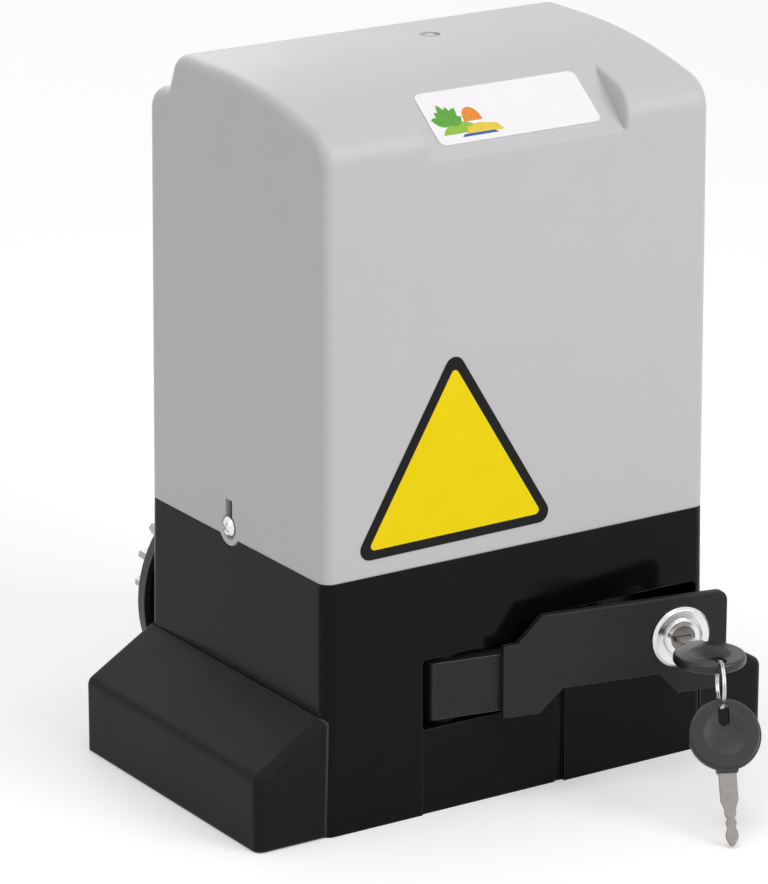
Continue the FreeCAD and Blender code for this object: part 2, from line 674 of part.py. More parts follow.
def ball_bearing(outer, bore, start, end):
    """Sealed bearing: both rings, with the seals set back between them."""
    a = vec(*start)
    run = vec(*end) - a
    width = run.Length
    run.normalize()
    third = (outer - bore) / 3
    sink = 0.8
    profile = [
        (bore, 0), (bore + third, 0), (bore + third, sink), (outer - third, sink), (outer - third, 0),
        (outer, 0), (outer, width), (outer - third, width), (outer - third, width - sink),
        (bore + third, width - sink), (bore + third, width), (bore, width),
    ]
    return turned(profile, a, run)


def output_bearings():
    x, z = SHAFT_X, SHAFT_Z
    pair = []
    for low, high in (FRONT_BEARING_Y, REAR_BEARING_Y):
        pair.append(ball_bearing(BEARING_OUT_R, BEARING_BORE_R, (x, low, z), (x, high, z)))
    return Part.makeCompound(pair)


def worm_bearings():
    pair = []
    for low, high in (LOW_BEARING_Z, HIGH_BEARING_Z, TOP_BEARING_Z):
        pair.append(ball_bearing(WORM_BORE_R, 7.5, (WORM_X, MESH_Y, low), (WORM_X, MESH_Y, high)))
    return Part.makeCompound(pair)


def gear_case_cover():
    y_out = BODY_D / 2 + 0.8
    plate = along_shaft(CASE_COVER_R, CASE_Y[1], y_out)
    plate = plate.fuse(along_shaft(CASE_R - 0.2, CASE_Y[1] - 9, CASE_Y[1] + 1))
    plate = plate.fuse(along_shaft(30, y_out - 1, GUARD_Y[0] + 1.0))
    plate = plate.cut(along_shaft(BEARING_OUT_R, CASE_Y[1] - 11, REAR_BEARING_Y[1]))
    plate = plate.cut(along_shaft(17.5, REAR_BEARING_Y[1] - 1, 79))
    plate = plate.cut(along_shaft(12.5, 78, 90))
    for dx, dz in around(6, 46.5, 30):
        plate = plate.cut(rod(2.2, (SHAFT_X + dx, CASE_Y[1] - 1, SHAFT_Z + dz), (SHAFT_X + dx, 80, SHAFT_Z + dz)))
    for dx, dz in around(3, 25, 90):
        plate = plate.cut(rod(1.4, (SHAFT_X + dx, 74, SHAFT_Z + dz), (SHAFT_X + dx, 90, SHAFT_Z + dz)))
    return plate


def case_cover_screws():
    screws = []
    for dx, dz in around(6, 46.5, 30):
        x, z = SHAFT_X + dx, SHAFT_Z + dz
        head_y = BODY_D / 2 + 0.8
        screw = rod(1.65, (x, 54, z), (x, head_y + 1, z)).fuse(rod(3.6, (x, head_y, z), (x, head_y + 3.4, z)))
        screws.append(screw.cut(hex_head(3, (x, head_y + 1.6, z), (x, head_y + 4, z))))
    return Part.makeCompound(screws)


def wheel_bush():
    """Bronze bush between the free-running wheel and the output shaft."""
    return along_shaft(12.0, -21, 4.9).cut(along_shaft(SHAFT_R + 0.02, -22, 6))


def shaft_circlip():
    clip = along_shaft(13, 5.3, 6.8).cut(along_shaft(SHAFT_R, 5, 7))
    gap = box((SHAFT_X - 2, SHAFT_X + 2), (5, 7), (SHAFT_Z, SHAFT_Z + 14))
    return clip.cut(gap)


def spring_seat():
    low, high = SPRING_SEAT_Y
    return along_shaft(17.5, low, high).cut(along_shaft(SHAFT_R, low - 1, high + 1))


def shaft_seal():
    profile = [(10.3, 0), (17.5, 0), (17.5, 7), (12.5, 7), (12.5, 2), (10.3, 2.6)]
    return turned(profile, vec(SHAFT_X, 71.5, SHAFT_Z), Y_AXIS)


def pinion_guard():
    low, high = GUARD_Y
    guard = along_shaft(GUARD_R, low, high)
    guard = guard.cut(ring(GUARD_R - 3, 31, (SHAFT_X, low - 1, SHAFT_Z), (SHAFT_X, high - 2.2, SHAFT_Z)))
    guard = guard.cut(along_shaft(30.1, low - 1, low + 1.0))
    guard = guard.cut(along_shaft(13, low - 1, high + 1))
    for dx, dz in around(6, 44, 0):
        rib = Part.makeBox(24, 3.6, 2, vec(0, 0, -1))
        rib.rotate(vec(0, 0, 0), vec(0, 1, 0), -math.degrees(math.atan2(dz, dx)))
        length = math.hypot(dx, dz)
        rib.translate(vec(SHAFT_X + dx / length * 31, high - 2.5 - 3.3, SHAFT_Z + dz / length * 31))
        guard = guard.fuse(rib)
    for dx, dz in around(3, 25, 90):
        guard = guard.cut(rod(1.8, (SHAFT_X + dx, low - 1, SHAFT_Z + dz), (SHAFT_X + dx, high + 1, SHAFT_Z + dz)))
    rims = edges_where(guard, lambda e: abs(e.CenterOfMass.y - high) < 0.01 and e.Length > 2 * math.pi * (GUARD_R - 1))
    return guard.makeFillet(1.2, rims)


def guard_screws():
    screws = []
    for dx, dz in around(3, 25, 90):
        x, z = SHAFT_X + dx, SHAFT_Z + dz
        head_y = GUARD_Y[1]
        screw = rod(1.4, (x, 75, z), (x, head_y + 0.5, z)).fuse(rod(2.9, (x, head_y, z), (x, head_y + 1.6, z)))
        screws.append(screw)
    return Part.makeCompound(screws)


# ---------------------------------------------------------------- motor
MOTOR_R = 50.0
MOTOR_Z = (140.0, 252.0)
STATOR_R = 47.0
ROTOR_R = 28.0


def at_motor(radius, low, high):
    return rod(radius, (WORM_X, MESH_Y, low), (WORM_X, MESH_Y, high))


def motor_housing():
    shell = at_motor(MOTOR_R, *MOTOR_Z)
    fins = []
    for i in range(20):
        fin = Part.makeBox(6.5, 2.2, MOTOR_Z[1] - MOTOR_Z[0] - 16, vec(MOTOR_R - 1.5, -1.1, MOTOR_Z[0] + 8))
        fin.rotate(vec(0, 0, 0), Z_AXIS, 18 * i + 9)
        fin.translate(vec(WORM_X, MESH_Y, 0))
        fins.append(fin)
    shell = fused([shell] + fins)
    return shell.cut(at_motor(STATOR_R, MOTOR_Z[0] - 1, MOTOR_Z[1] + 1))


def stator_core():
    core = at_motor(STATOR_R, 162, 230).cut(at_motor(ROTOR_R + 0.5, 161, 231))
    for dx, dy in around(4, MOTOR_BOLT_R, 45):
        core = core.cut(rod(2.2, (WORM_X + dx, MESH_Y + dy, 160), (WORM_X + dx, MESH_Y + dy, 232)))
    return core


def stator_windings():
    heads = []
    for low, high in ((150, 162), (230, 242)):
        head = turned([(31, low), (40, low), (41.5, low + 4), (41.5, high - 3), (40, high), (31, high)],
                      vec(WORM_X, MESH_Y, 0), Z_AXIS)
        heads.append(head)
    return Part.makeCompound(heads)


def rotor_core():
    core = at_motor(ROTOR_R, 160, 232)
    rings = [at_motor(ROTOR_R - 2, 153, 160), at_motor(ROTOR_R - 2, 232, 239)]
    return fused([core] + rings).cut(at_motor(7.48, 150, 245))


def motor_bolts():
    bolts = []
    for dx, dy in around(4, MOTOR_BOLT_R, 45):
        x, y = WORM_X + dx, MESH_Y + dy
        bolts.append(rod(2.0, (x, y, 104), (x, y, 258)).fuse(hex_head(7, (x, y, 258), (x, y, 261))))
    return Part.makeCompound(bolts)


def motor_lower_shield():
    body = turned([
        (17.6, SEAM_Z), (54, SEAM_Z), (54, SEAM_Z + 6), (44, SEAM_Z + 10), (44, 132), (MOTOR_R + 1, 136),
        (MOTOR_R + 1, 140), (46.8, 140), (46.8, 146), (42, 146), (38, 136), (17.6, 130),
    ], vec(WORM_X, MESH_Y, 0), Z_AXIS)
    for dx, dy in around(4, MOTOR_BOLT_R, 45):
        x, y = WORM_X + dx, MESH_Y + dy
        body = body.fuse(rod(5.5, (x, y, SEAM_Z), (x, y, 139)))
        body = body.cut(rod(2.2, (x, y, SEAM_Z - 1), (x, y, 148)))
    return body.cut(at_motor(38, 136, 150))


def motor_upper_shield():
    body = turned([
        (0, 262), (21, 262), (24, 258), (48.5, 258), (MOTOR_R + 1, 255.5), (MOTOR_R + 1, 252),
        (46.8, 252), (46.8, 246), (39, 246), (36, 250), (22, 250), (22, 245.5),
        (WORM_BORE_R, 245.5), (WORM_BORE_R, 257), (9, 257), (9, 259), (0, 259),
    ], vec(WORM_X, MESH_Y, 0), Z_AXIS)
    for dx, dy in around(4, MOTOR_BOLT_R, 45):
        body = body.cut(rod(2.2, (WORM_X + dx, MESH_Y + dy, 245), (WORM_X + dx, MESH_Y + dy, 259)))
    return body


# ---------------------------------------------------------------- release lever
LEVER_FRONT = -12.4       # front of the lever arm, from the pivot, lever shut
PLATE_T = 3.0
ARM_Z = (42.9, 69.3)
ARM_LOW_Z = 54.4          # underside of the arm's outer half
ARM_RIVETS = [(32, 50.9), (32, 61.3), (60, 61.3), (78, 61.3)]   # from the pivot: x, and height
PIN_R = 4.0
HEAD_R = 16.2             # key head
HEAD_T = 4.4
KEY_OUT = 29.2            # key head's centre, in front of the lever plate
BLADE_L = 33.7
BLADE_HALF = 3.85
RING_R = 10.3             # split ring, to the middle of its wire
RING_WIRE = 0.9
RING_SHIFT = 1.85         # ring's crossing of the web, left of the key's middle
RING_YAW = 17.5           # split ring turned about the upright from the key's own line
TIP_CLEAR = 1.1           # spare key's tip leans down to the ground, less its own thickness


def swing(shape, angle=LEVER_OPEN):
    """Open a piece drawn with the lever shut."""
    moved = shape.copy()
    moved.rotate(vec(PIVOT_X, PIVOT_Y, 0), Z_AXIS, -angle)
    return moved


def cam_point(angle):
    """Cam whose distance to a flat follower grows evenly with the lever's angle."""
    lift = CAM_BASE + CAM_RISE * (angle - math.pi / 2)
    x = lift * math.cos(angle) - CAM_RISE * math.sin(angle)
    y = lift * math.sin(angle) + CAM_RISE * math.cos(angle)
    return x, y


def lever_arm():
    angles = [math.radians(60 + 10 * i) for i in range(13)]
    curve = [vec(PIVOT_X + x, PIVOT_Y + y, ARM_Z[0]) for x, y in map(cam_point, angles)]
    cam = Part.BSplineCurve()
    cam.interpolate(curve)
    at = lambda x, y: vec(PIVOT_X + x, PIVOT_Y + y, ARM_Z[0])
    rest = [curve[-1], at(-8.8, LEVER_FRONT + 1), at(-7.8, LEVER_FRONT), at(88, LEVER_FRONT),
            at(88, -3.4), at(16, -3.4), at(8, 4.6), curve[0]]
    wire = Part.Wire([cam.toShape()] + [Part.makeLine(a, b) for a, b in zip(rest, rest[1:])])
    arm = Part.Face(wire).extrude(vec(0, 0, ARM_Z[1] - ARM_Z[0]))
    arm = arm.cut(rod(PIN_R + 0.05, (PIVOT_X, PIVOT_Y, 40), (PIVOT_X, PIVOT_Y, 72)))
    # the outer half is narrower, so that it passes over the pocket's raised floor
    relief = [(44.0, ARM_Z[0] - 3, 0), (44.0, ARM_Z[0], 2.0), (55.6, ARM_LOW_Z, 2.0), (90.0, ARM_LOW_Z, 0),
              (90.0, ARM_Z[0] - 3, 0)]
    arm = arm.cut(prism_y([(PIVOT_X + x, z, r) for x, z, r in relief], PIVOT_Y - 20, PIVOT_Y + 1))
    # lightening channels along the back
    for reach, low in ((44, ARM_Z[0] + 5), (82, ARM_LOW_Z + 4)):
        arm = arm.cut(box((PIVOT_X + 24, PIVOT_X + reach), (PIVOT_Y - 6.4, PIVOT_Y), (low, ARM_Z[1] - 5)))
    for x, z in ARM_RIVETS:
        arm = arm.cut(rod(2.0, (PIVOT_X + x, PIVOT_Y - 14, z), (PIVOT_X + x, PIVOT_Y, z)))
    upright = edges_where(arm, lambda e: abs(e.CenterOfMass.x - PIVOT_X - 88) < 0.1 and e.Length > 12)
    return swing(arm.makeFillet(1.5, upright))


def lever_plate():
    outline_xz = [
        (24.5, 39.7, 1.5), (42.1, 39.7, 1.5), (53.4, 50.0, 1.5), (100.6, 50.0, 1.5), (110.0, 39.7, 1.5),
        (133.6, 39.7, 3.0), (133.6, 85.6, 5.0), (43.2, 85.6, 1.5), (31.1, 73.7, 1.5), (24.5, 73.7, 1.5),
    ]
    points = [(PIVOT_X + x, z, r) for x, z, r in outline_xz]
    back = PIVOT_Y + LEVER_FRONT
    plate = prism_y(points, back - PLATE_T, back)
    rims = edges_where(plate, lambda e: abs(e.CenterOfMass.y - back + PLATE_T) < 0.01)
    plate = plate.makeFillet(0.6, rims)
    plate = plate.cut(rod(9.45, (LOCK_X, back - 5, LOCK_Z), (LOCK_X, back + 1, LOCK_Z)))
    for x, z in ARM_RIVETS:
        plate = plate.cut(rod(2.0, (PIVOT_X + x, back - 1.8, z), (PIVOT_X + x, back + 1, z)))
    return swing(plate)


def lever_rivets():
    rivets = []
    back = PIVOT_Y + LEVER_FRONT
    floor = PIVOT_Y - 6.4
    for x, z in ARM_RIVETS:
        x0 = PIVOT_X + x
        rivet = rod(1.98, (x0, back - 1.8, z), (x0, floor + 0.5, z)).fuse(rod(2.9, (x0, floor, z), (x0, floor + 1.4, z)))
        rivets.append(swing(rivet))
    return Part.makeCompound(rivets)


def lever_pivot_pin():
    return rod(PIN_R, (PIVOT_X, PIVOT_Y, 32), (PIVOT_X, PIVOT_Y, 82))


def pivot_washers():
    low = ring(7.5, PIN_R + 0.05, (PIVOT_X, PIVOT_Y, 39.6), (PIVOT_X, PIVOT_Y, ARM_Z[0] - 0.05))
    high = ring(7.5, PIN_R + 0.05, (PIVOT_X, PIVOT_Y, ARM_Z[1] + 0.05), (PIVOT_X, PIVOT_Y, 72.2))
    return Part.makeCompound([low, high])


# ---------------------------------------------------------------- lock and keys
PLATE_FRONT = PIVOT_Y + LEVER_FRONT - PLATE_T
PLUG_R = 5.8
LOCK_LENGTH = 24.0


def at_lock(radius, start, end):
    """Cylinder on the lock axis; distances run inwards from the lever plate's front."""
    return rod(radius, (LOCK_X, PLATE_FRONT + start, LOCK_Z), (LOCK_X, PLATE_FRONT + end, LOCK_Z))


def lock_body():
    profile = [
        (PLUG_R + 0.05, -2.6), (8.2, -2.6), (8.7, -2.1), (8.7, -1.3), (9.6, -1.3), (9.6, -2.2), (12.9, -2.2),
        (14.2, -0.9), (14.2, 0), (9.4, 0), (9.4, LOCK_LENGTH), (PLUG_R + 0.05, LOCK_LENGTH),
    ]
    return swing(turned(profile, vec(LOCK_X, PLATE_FRONT, LOCK_Z), Y_AXIS))


def lock_nut():
    nut = hex_head(22, (LOCK_X, PLATE_FRONT + PLATE_T, LOCK_Z), (LOCK_X, PLATE_FRONT + PLATE_T + 4, LOCK_Z))
    return swing(nut.cut(at_lock(9.4, 0, 10)))


def lock_plug():
    plug = at_lock(PLUG_R, -2.4, LOCK_LENGTH + 2.9)
    half_w, half_t = 4.1, 1.2
    slot = box((LOCK_X - half_w, LOCK_X + half_w), (PLATE_FRONT - 3, PLATE_FRONT + 22.6), (LOCK_Z - half_t, LOCK_Z + half_t))
    plug = plug.cut(slot)
    # the rear end is filed square for the cam
    for x in (-1, 1):
        side = sorted((LOCK_X + x * 3.5, LOCK_X + x * 9))
        plug = plug.cut(box(side, (PLATE_FRONT + LOCK_LENGTH + 0.3, PLATE_FRONT + 30), (LOCK_Z - 9, LOCK_Z + 9)))
    for z in (-1, 1):
        side = sorted((LOCK_Z + z * 3.5, LOCK_Z + z * 9))
        plug = plug.cut(box((LOCK_X - 9, LOCK_X + 9), (PLATE_FRONT + LOCK_LENGTH + 0.3, PLATE_FRONT + 30), side))
    return swing(plug)


def lock_cam():
    low = PLATE_FRONT + LOCK_LENGTH + 0.3
    blade = prism_y([(LOCK_X - 4.5, LOCK_Z + 5.5, 2.5), (LOCK_X - 4.5, LOCK_Z - 23, 3.5),
                     (LOCK_X + 4.5, LOCK_Z - 23, 3.5), (LOCK_X + 4.5, LOCK_Z + 5.5, 2.5)][::1], low, low + 2.5)
    blade = blade.fuse(at_lock(6.5, LOCK_LENGTH + 0.3, LOCK_LENGTH + 2.8))
    square = box((LOCK_X - 3.5, LOCK_X + 3.5), (low - 1, low + 4), (LOCK_Z - 3.5, LOCK_Z + 3.5))
    return swing(blade.cut(square))


def cam_nut():
    start = PLATE_FRONT + LOCK_LENGTH + 2.9
    return swing(hex_head(8, (LOCK_X, start, LOCK_Z), (LOCK_X, start + 2.4, LOCK_Z)))


def flat_key():
    """Blade and head of a key lying in the XY plane: head centre at the origin, tip towards +Y."""
    steps = [(0, BLADE_HALF), (10.2, BLADE_HALF), (12, 3.2), (14.3, 3.5), (16.6, 2.4), (19, 3.1), (21.3, 2.4),
             (23.6, 2.9), (25.9, 2.1), (28.7, 2.8), (31.4, 2.1), (BLADE_L, 0.7)]
    right = [vec(w, HEAD_R + d, -1.05) for d, w in steps]
    left = [vec(-w, HEAD_R + d, -1.05) for d, w in reversed(steps)]
    root = [vec(-BLADE_HALF, 10.6, -1.05), vec(BLADE_HALF, 10.6, -1.05)]
    wire = Part.makePolygon(root + right + left + root[:1])
    blade = Part.Face(wire).extrude(vec(0, 0, 2.1))
    for z in (-1.3, 0.65):
        blade = blade.cut(box((-0.8, 0.8), (HEAD_R + 2, HEAD_R + 30), (z, z + 0.65)))

    head = Part.makeCylinder(HEAD_R, HEAD_T, vec(0, 0, -HEAD_T / 2))
    head = head.makeFillet(1.5, edges_where(head, lambda e: e.Length > 60))
    neck = prism_z([(-5.6, 7.5, 0), (5.6, 7.5, 0), (4.7, HEAD_R + 1.1, 1.0), (-4.7, HEAD_R + 1.1, 1.0)], -1.8, 1.8)
    head = head.fuse(neck)
    for z in (-1, 1):
        dish = Part.makeSphere(60, vec(0, 0, z * (60 + HEAD_T / 2 - 0.75)))
        head = head.cut(dish)
    web = 2.3
    half = 2.5
    outer, inner = -(HEAD_R - web - half), -6.0
    slot = fused([
        box((-half, half), (outer, inner), (-5, 5)),
        rod(half, (0, outer, -5), (0, outer, 5)),
        rod(half, (0, inner, -5), (0, inner, 5)),
    ])
    head = head.cut(slot)
    pocket = box((-BLADE_HALF, BLADE_HALF), (10.6, HEAD_R + 3), (-1.05, 1.05))
    return blade, head.cut(pocket)


def placed_key():
    """The key in the lock, lying level, its blade inside the plug."""
    centre = vec(LOCK_X, PLATE_FRONT - KEY_OUT, LOCK_Z)
    pieces = []
    for shape in flat_key():
        shape.translate(centre)
        pieces.append(swing(shape))
    return pieces


WEB_OUT = HEAD_R - 1.15   # middle of the web between the head's slot and its edge
RING_DROP = math.sqrt((RING_R - RING_WIRE) ** 2 - 1.15 ** 2) - HEAD_T / 2 - 0.15


def ring_centre():
    """Ring centre with the lever open, its top resting on the web of the key's head."""
    angle = math.radians(LEVER_OPEN)
    out = vec(-math.sin(angle), -math.cos(angle), 0)
    lock = swing(Part.Vertex(LOCK_X, PLATE_FRONT, LOCK_Z)).Point
    right = Z_AXIS.cross(out)
    return lock + out * (KEY_OUT + WEB_OUT) - right * RING_SHIFT - Z_AXIS * RING_DROP


def ring_heading():
    """Level unit vector in the ring's plane, pointing away from the lever."""
    angle = math.radians(LEVER_OPEN + RING_YAW)
    return vec(-math.sin(angle), -math.cos(angle), 0)


def key_ring():
    side = ring_heading().cross(Z_AXIS)
    return Part.makeTorus(RING_R, RING_WIRE, ring_centre(), side)


def spare_key():
    """Second key threaded on the ring and leaning outwards on its tip."""
    centre = ring_centre()
    heading = ring_heading()
    side = heading.cross(Z_AXIS)
    # distance from the ring's centre to the head's centre: the slot's end hangs on the wire
    reach = math.sqrt((RING_R - RING_WIRE) ** 2 - (HEAD_T / 2) ** 2) - 0.12 - 2.3 + HEAD_R
    lean = math.degrees(math.acos((centre.z - TIP_CLEAR) / (reach + HEAD_R + BLADE_L)))
    pieces = []
    for shape in flat_key():
        # stand the flat key upright with its tip down and its face along the heading
        shape.rotate(vec(0, 0, 0), X_AXIS, -90)
        shape.rotate(vec(0, 0, 0), Z_AXIS, -(LEVER_OPEN + RING_YAW))
        shape.translate(centre - Z_AXIS * reach)
        shape.rotate(centre, side, lean)
        pieces.append(shape)
    return pieces


# ---------------------------------------------------------------- cover fixings
def cover_screws():
    screws = []
    for side in (-1, 1):
        seat = side * (SEAM_HALF_W - SCREW_SEAT)
        inner = side * (SEAM_HALF_W - 17)
        shank = rod(2.1, (inner, EAR_Y, EAR_Z), (seat, EAR_Y, EAR_Z))
        dome = Part.makeSphere(6.4, vec(seat - side * 2.6, EAR_Y, EAR_Z))
        head = dome.common(rod(4.7, (seat, EAR_Y, EAR_Z), (seat + side * 6, EAR_Y, EAR_Z)))
        screw = shank.fuse(head)
        for turn in (30, 120):
            cut = Part.makeBox(3, 1.1, 6.0, vec(0 if side > 0 else -3, -0.55, -3))
            cut.rotate(vec(0, 0, 0), X_AXIS, turn)
            cut.translate(vec(seat + side * 2.3, EAR_Y, EAR_Z))
            screw = screw.cut(cut)
        screws.append(screw)
    return Part.makeCompound(screws)


def screw_nuts():
    """Square-shouldered nuts behind the ears, which come away with the screws."""
    nuts = []
    for side in (-1, 1):
        start, end = side * (SEAM_HALF_W - 16.2), side * (SEAM_HALF_W - 13.1)
        nut = hex_head(7, (start, EAR_Y, EAR_Z), (end, EAR_Y, EAR_Z))
        nuts.append(nut.cut(rod(2.1, (start, EAR_Y, EAR_Z), (end, EAR_Y, EAR_Z))))
    return Part.makeCompound(nuts)


# ---------------------------------------------------------------- electrics under the cover
BOARD_Y = 57.0
BOARD_X = (-62.0, 88.0)
BOARD_Z = (146.0, 282.0)


def board_bracket():
    """Folded sheet bracket that stands the control board behind the motor."""
    sheet = box((BOARD_X[0], BOARD_X[1]), (BOARD_Y - 6.5, BOARD_Y - 5), (SEAM_Z, BOARD_Z[1]))
    foot = box((BOARD_X[0], BOARD_X[1]), (BOARD_Y - 6.5, BOARD_Y + 8), (SEAM_Z, SEAM_Z + 1.5))
    sheet = sheet.fuse(foot)
    window = prism_y(rectangle((-40, 60), (170, 250), 8), BOARD_Y - 8, BOARD_Y - 4)
    return sheet.cut(window).cut(box((-56, -30), (40, 70), (SEAM_Z + 4, SEAM_Z + 20)))


def board_pillars():
    pillars = []
    for x in (BOARD_X[0] + 6, BOARD_X[1] - 6):
        for z in (BOARD_Z[0] + 6, BOARD_Z[1] - 6):
            pillars.append(hex_head(5.5, (x, BOARD_Y - 5, z), (x, BOARD_Y, z)))
    return Part.makeCompound(pillars)


def control_board():
    return box(BOARD_X, (BOARD_Y, BOARD_Y + 1.6), BOARD_Z)


def board_parts():
    """Relays, fuse holder, rectifier capacitor and chips on the rear face of the board."""
    y = BOARD_Y + 1.6
    parts = []
    for i in range(3):
        parts.append(box((-50 + i * 20, -35 + i * 20), (y, y + 9.5), (240, 259)))
    parts.append(box((22, 42), (y, y + 6), (244, 252)))
    parts.append(rod(4.0, (60, y, 248), (60, y + 9, 248)))
    parts.append(rod(4.0, (74, y, 248), (74, y + 9, 248)))
    parts.append(box((-20, 10), (y, y + 2.5), (205, 214)))
    parts.append(box((24, 40), (y, y + 2.5), (200, 216)))
    for i in range(4):
        parts.append(box((52 + i * 8, 57 + i * 8), (y, y + 5), (205, 210)))
    return Part.makeCompound(parts)


def terminal_blocks():
    """Row of screw terminals along the foot of the board, each way with its screw well."""
    y = BOARD_Y + 1.6
    blocks = []
    for start, ways in ((-54, 6), (-4, 6), (46, 6)):
        block = box((start, start + ways * 6.5), (y, y + 9), (BOARD_Z[0] + 3, BOARD_Z[0] + 15))
        for i in range(ways):
            x = start + 3.25 + 6.5 * i
            block = block.cut(rod(1.9, (x, y + 6, BOARD_Z[0] + 11), (x, y + 10, BOARD_Z[0] + 11)))
            block = block.cut(box((x - 2, x + 2), (y + 1, y + 5), (BOARD_Z[0] + 2, BOARD_Z[0] + 6)))
        blocks.append(block)
    return Part.makeCompound(blocks)


def run_capacitor():
    x, y = -72, -40
    can = rod(17, (x, y, SEAM_Z + 4), (x, y, 190))
    can = can.makeFillet(2.0, edges_where(can, lambda e: e.CenterOfMass.z > 189))
    for dx in (-5, 5):
        can = can.fuse(box((x + dx - 0.4, x + dx + 0.4), (y - 3.2, y + 3.2), (189.5, 198)))
    return can


def capacitor_clip():
    x, y = -72, -40
    band = ring(18.2, 17.05, (x, y, 140), (x, y, 152))
    band = band.fuse(box((x - 16, x + 16), (y + 18.5, y + 20), (SEAM_Z, 152)))
    band = band.fuse(box((x - 16, x + 16), (y + 18.5, y + 29), (SEAM_Z, SEAM_Z + 1.5)))
    return band.fuse(box((x - 5, x + 5), (y + 17.2, y + 19), (140, 152)))


def transformer_core():
    core = box((-83, -51), (-2, 42), (SEAM_Z, SEAM_Z + 40))
    return core.cut(box((-92, -50), (9, 31), (SEAM_Z + 12, SEAM_Z + 29)))


def transformer_coil():
    coil = prism_x([(9.2, SEAM_Z + 12.2, 0), (30.8, SEAM_Z + 12.2, 0), (30.8, SEAM_Z + 28.8, 0), (9.2, SEAM_Z + 28.8, 0)],
                   -86.5, -48)
    return coil


def limit_sensor():
    """Magnetic limit pick-up, held against the rear wall above the pinion."""
    body = box((-58, -28), (58.5, 68.5), (SEAM_Z + 6.2, SEAM_Z + 24))
    return body.fuse(rod(3, (-43, 58.5, SEAM_Z + 18), (-43, 52.3, SEAM_Z + 18)))


def duct_grommet():
    x, y = DUCT_X - 6, DUCT_Y + 6
    return turned([(9.0, SEAM_Z - 4), (12.4, SEAM_Z - 4), (12.4, SEAM_Z), (14.2, SEAM_Z), (14.2, SEAM_Z + 2), (12, SEAM_Z + 4), (9.0, SEAM_Z + 4)],
                  vec(x, y, 0), Z_AXIS)


def build():
    nodes = {
        "base_housing": base_housing(),
        "cover_shell": cover_shell(),
        "foot_cover_left": foot_cover(-1),
        "foot_cover_right": foot_cover(1),
        "rotor_shaft": rotor_shaft(),
        "worm_wheel": worm_wheel(),
        "output_shaft": output_shaft(),
        "clutch_ring": clutch_ring(),
        "release_rod": release_rod(),
        "clutch_cross_pin": cross_pin(),
        "clutch_spring": coil_spring(),
        "rack_pinion": pinion(),
        "pinion_key": pinion_key(),
        "pinion_washer": pinion_washer(),
        "pinion_nut": pinion_nut(),
        "output_bearings": output_bearings(),
        "worm_bearings": worm_bearings(),
        "gear_case_cover": gear_case_cover(),
        "case_cover_screws": case_cover_screws(),
        "shaft_seal": shaft_seal(),
        "wheel_bush": wheel_bush(),
        "shaft_circlip": shaft_circlip(),
        "spring_seat": spring_seat(),
        "pinion_guard": pinion_guard(),
        "guard_screws": guard_screws(),
        "motor_housing": motor_housing(),
        "stator_core": stator_core(),
        "stator_windings": stator_windings(),
        "rotor_core": rotor_core(),
        "motor_bolts": motor_bolts(),
        "motor_lower_shield": motor_lower_shield(),
        "motor_upper_shield": motor_upper_shield(),
        "lever_arm": lever_arm(),
        "lever_plate": lever_plate(),
        "lever_rivets": lever_rivets(),
        "lever_pivot_pin": lever_pivot_pin(),
        "pivot_washers": pivot_washers(),
        "lock_body": lock_body(),
        "lock_nut": lock_nut(),
        "lock_plug": lock_plug(),
        "lock_cam": lock_cam(),
        "cam_nut": cam_nut(),
        "key_ring": key_ring(),
        "cover_screws": cover_screws(),
        "screw_nuts": screw_nuts(),
        "board_bracket": board_bracket(),
        "board_pillars": board_pillars(),
        "control_board": control_board(),
        "board_parts": board_parts(),
        "terminal_blocks": terminal_blocks(),
        "run_capacitor": run_capacitor(),
        "capacitor_clip": capacitor_clip(),
        "transformer_core": transformer_core(),
        "transformer_coil": transformer_coil(),
        "limit_sensor": limit_sensor(),
        "duct_grommet": duct_grommet(),
    }
    nodes["key_blade"], nodes["key_head"] = placed_key()
    nodes["spare_key_blade"], nodes["spare_key_head"] = spare_key()
    for name, shape in nodes.items():
        if shape.isNull() or not shape.isValid():
            print("invalid shape:", name)
        shape.exportStep("parts/" + name + ".step")


build()
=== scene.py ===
"""Looks of the sliding gate motor: finishes, print, keys, board detail, light and camera.

Sizes are in millimetres and become metres with MM, except where a comment says metres.
"""
import json
import math

import bmesh
import bpy
from mathutils import Matrix, Vector


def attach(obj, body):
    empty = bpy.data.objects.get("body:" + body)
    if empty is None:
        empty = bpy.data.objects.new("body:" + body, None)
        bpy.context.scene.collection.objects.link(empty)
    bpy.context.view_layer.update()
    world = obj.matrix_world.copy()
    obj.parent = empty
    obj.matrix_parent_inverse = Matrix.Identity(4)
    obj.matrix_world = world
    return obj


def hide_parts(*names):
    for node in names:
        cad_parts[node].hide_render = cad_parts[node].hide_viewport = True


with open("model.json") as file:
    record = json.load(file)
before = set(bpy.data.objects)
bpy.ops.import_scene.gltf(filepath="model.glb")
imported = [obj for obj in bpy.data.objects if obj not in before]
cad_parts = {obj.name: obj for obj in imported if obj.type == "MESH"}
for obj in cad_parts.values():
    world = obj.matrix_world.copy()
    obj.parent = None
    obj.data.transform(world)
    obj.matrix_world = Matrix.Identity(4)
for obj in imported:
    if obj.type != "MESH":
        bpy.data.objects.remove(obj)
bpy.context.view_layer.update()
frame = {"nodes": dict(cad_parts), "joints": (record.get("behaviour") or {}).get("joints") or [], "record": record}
nodes = frame["nodes"]
joints = {joint["name"]: joint for joint in frame["joints"]}
MM = 0.001

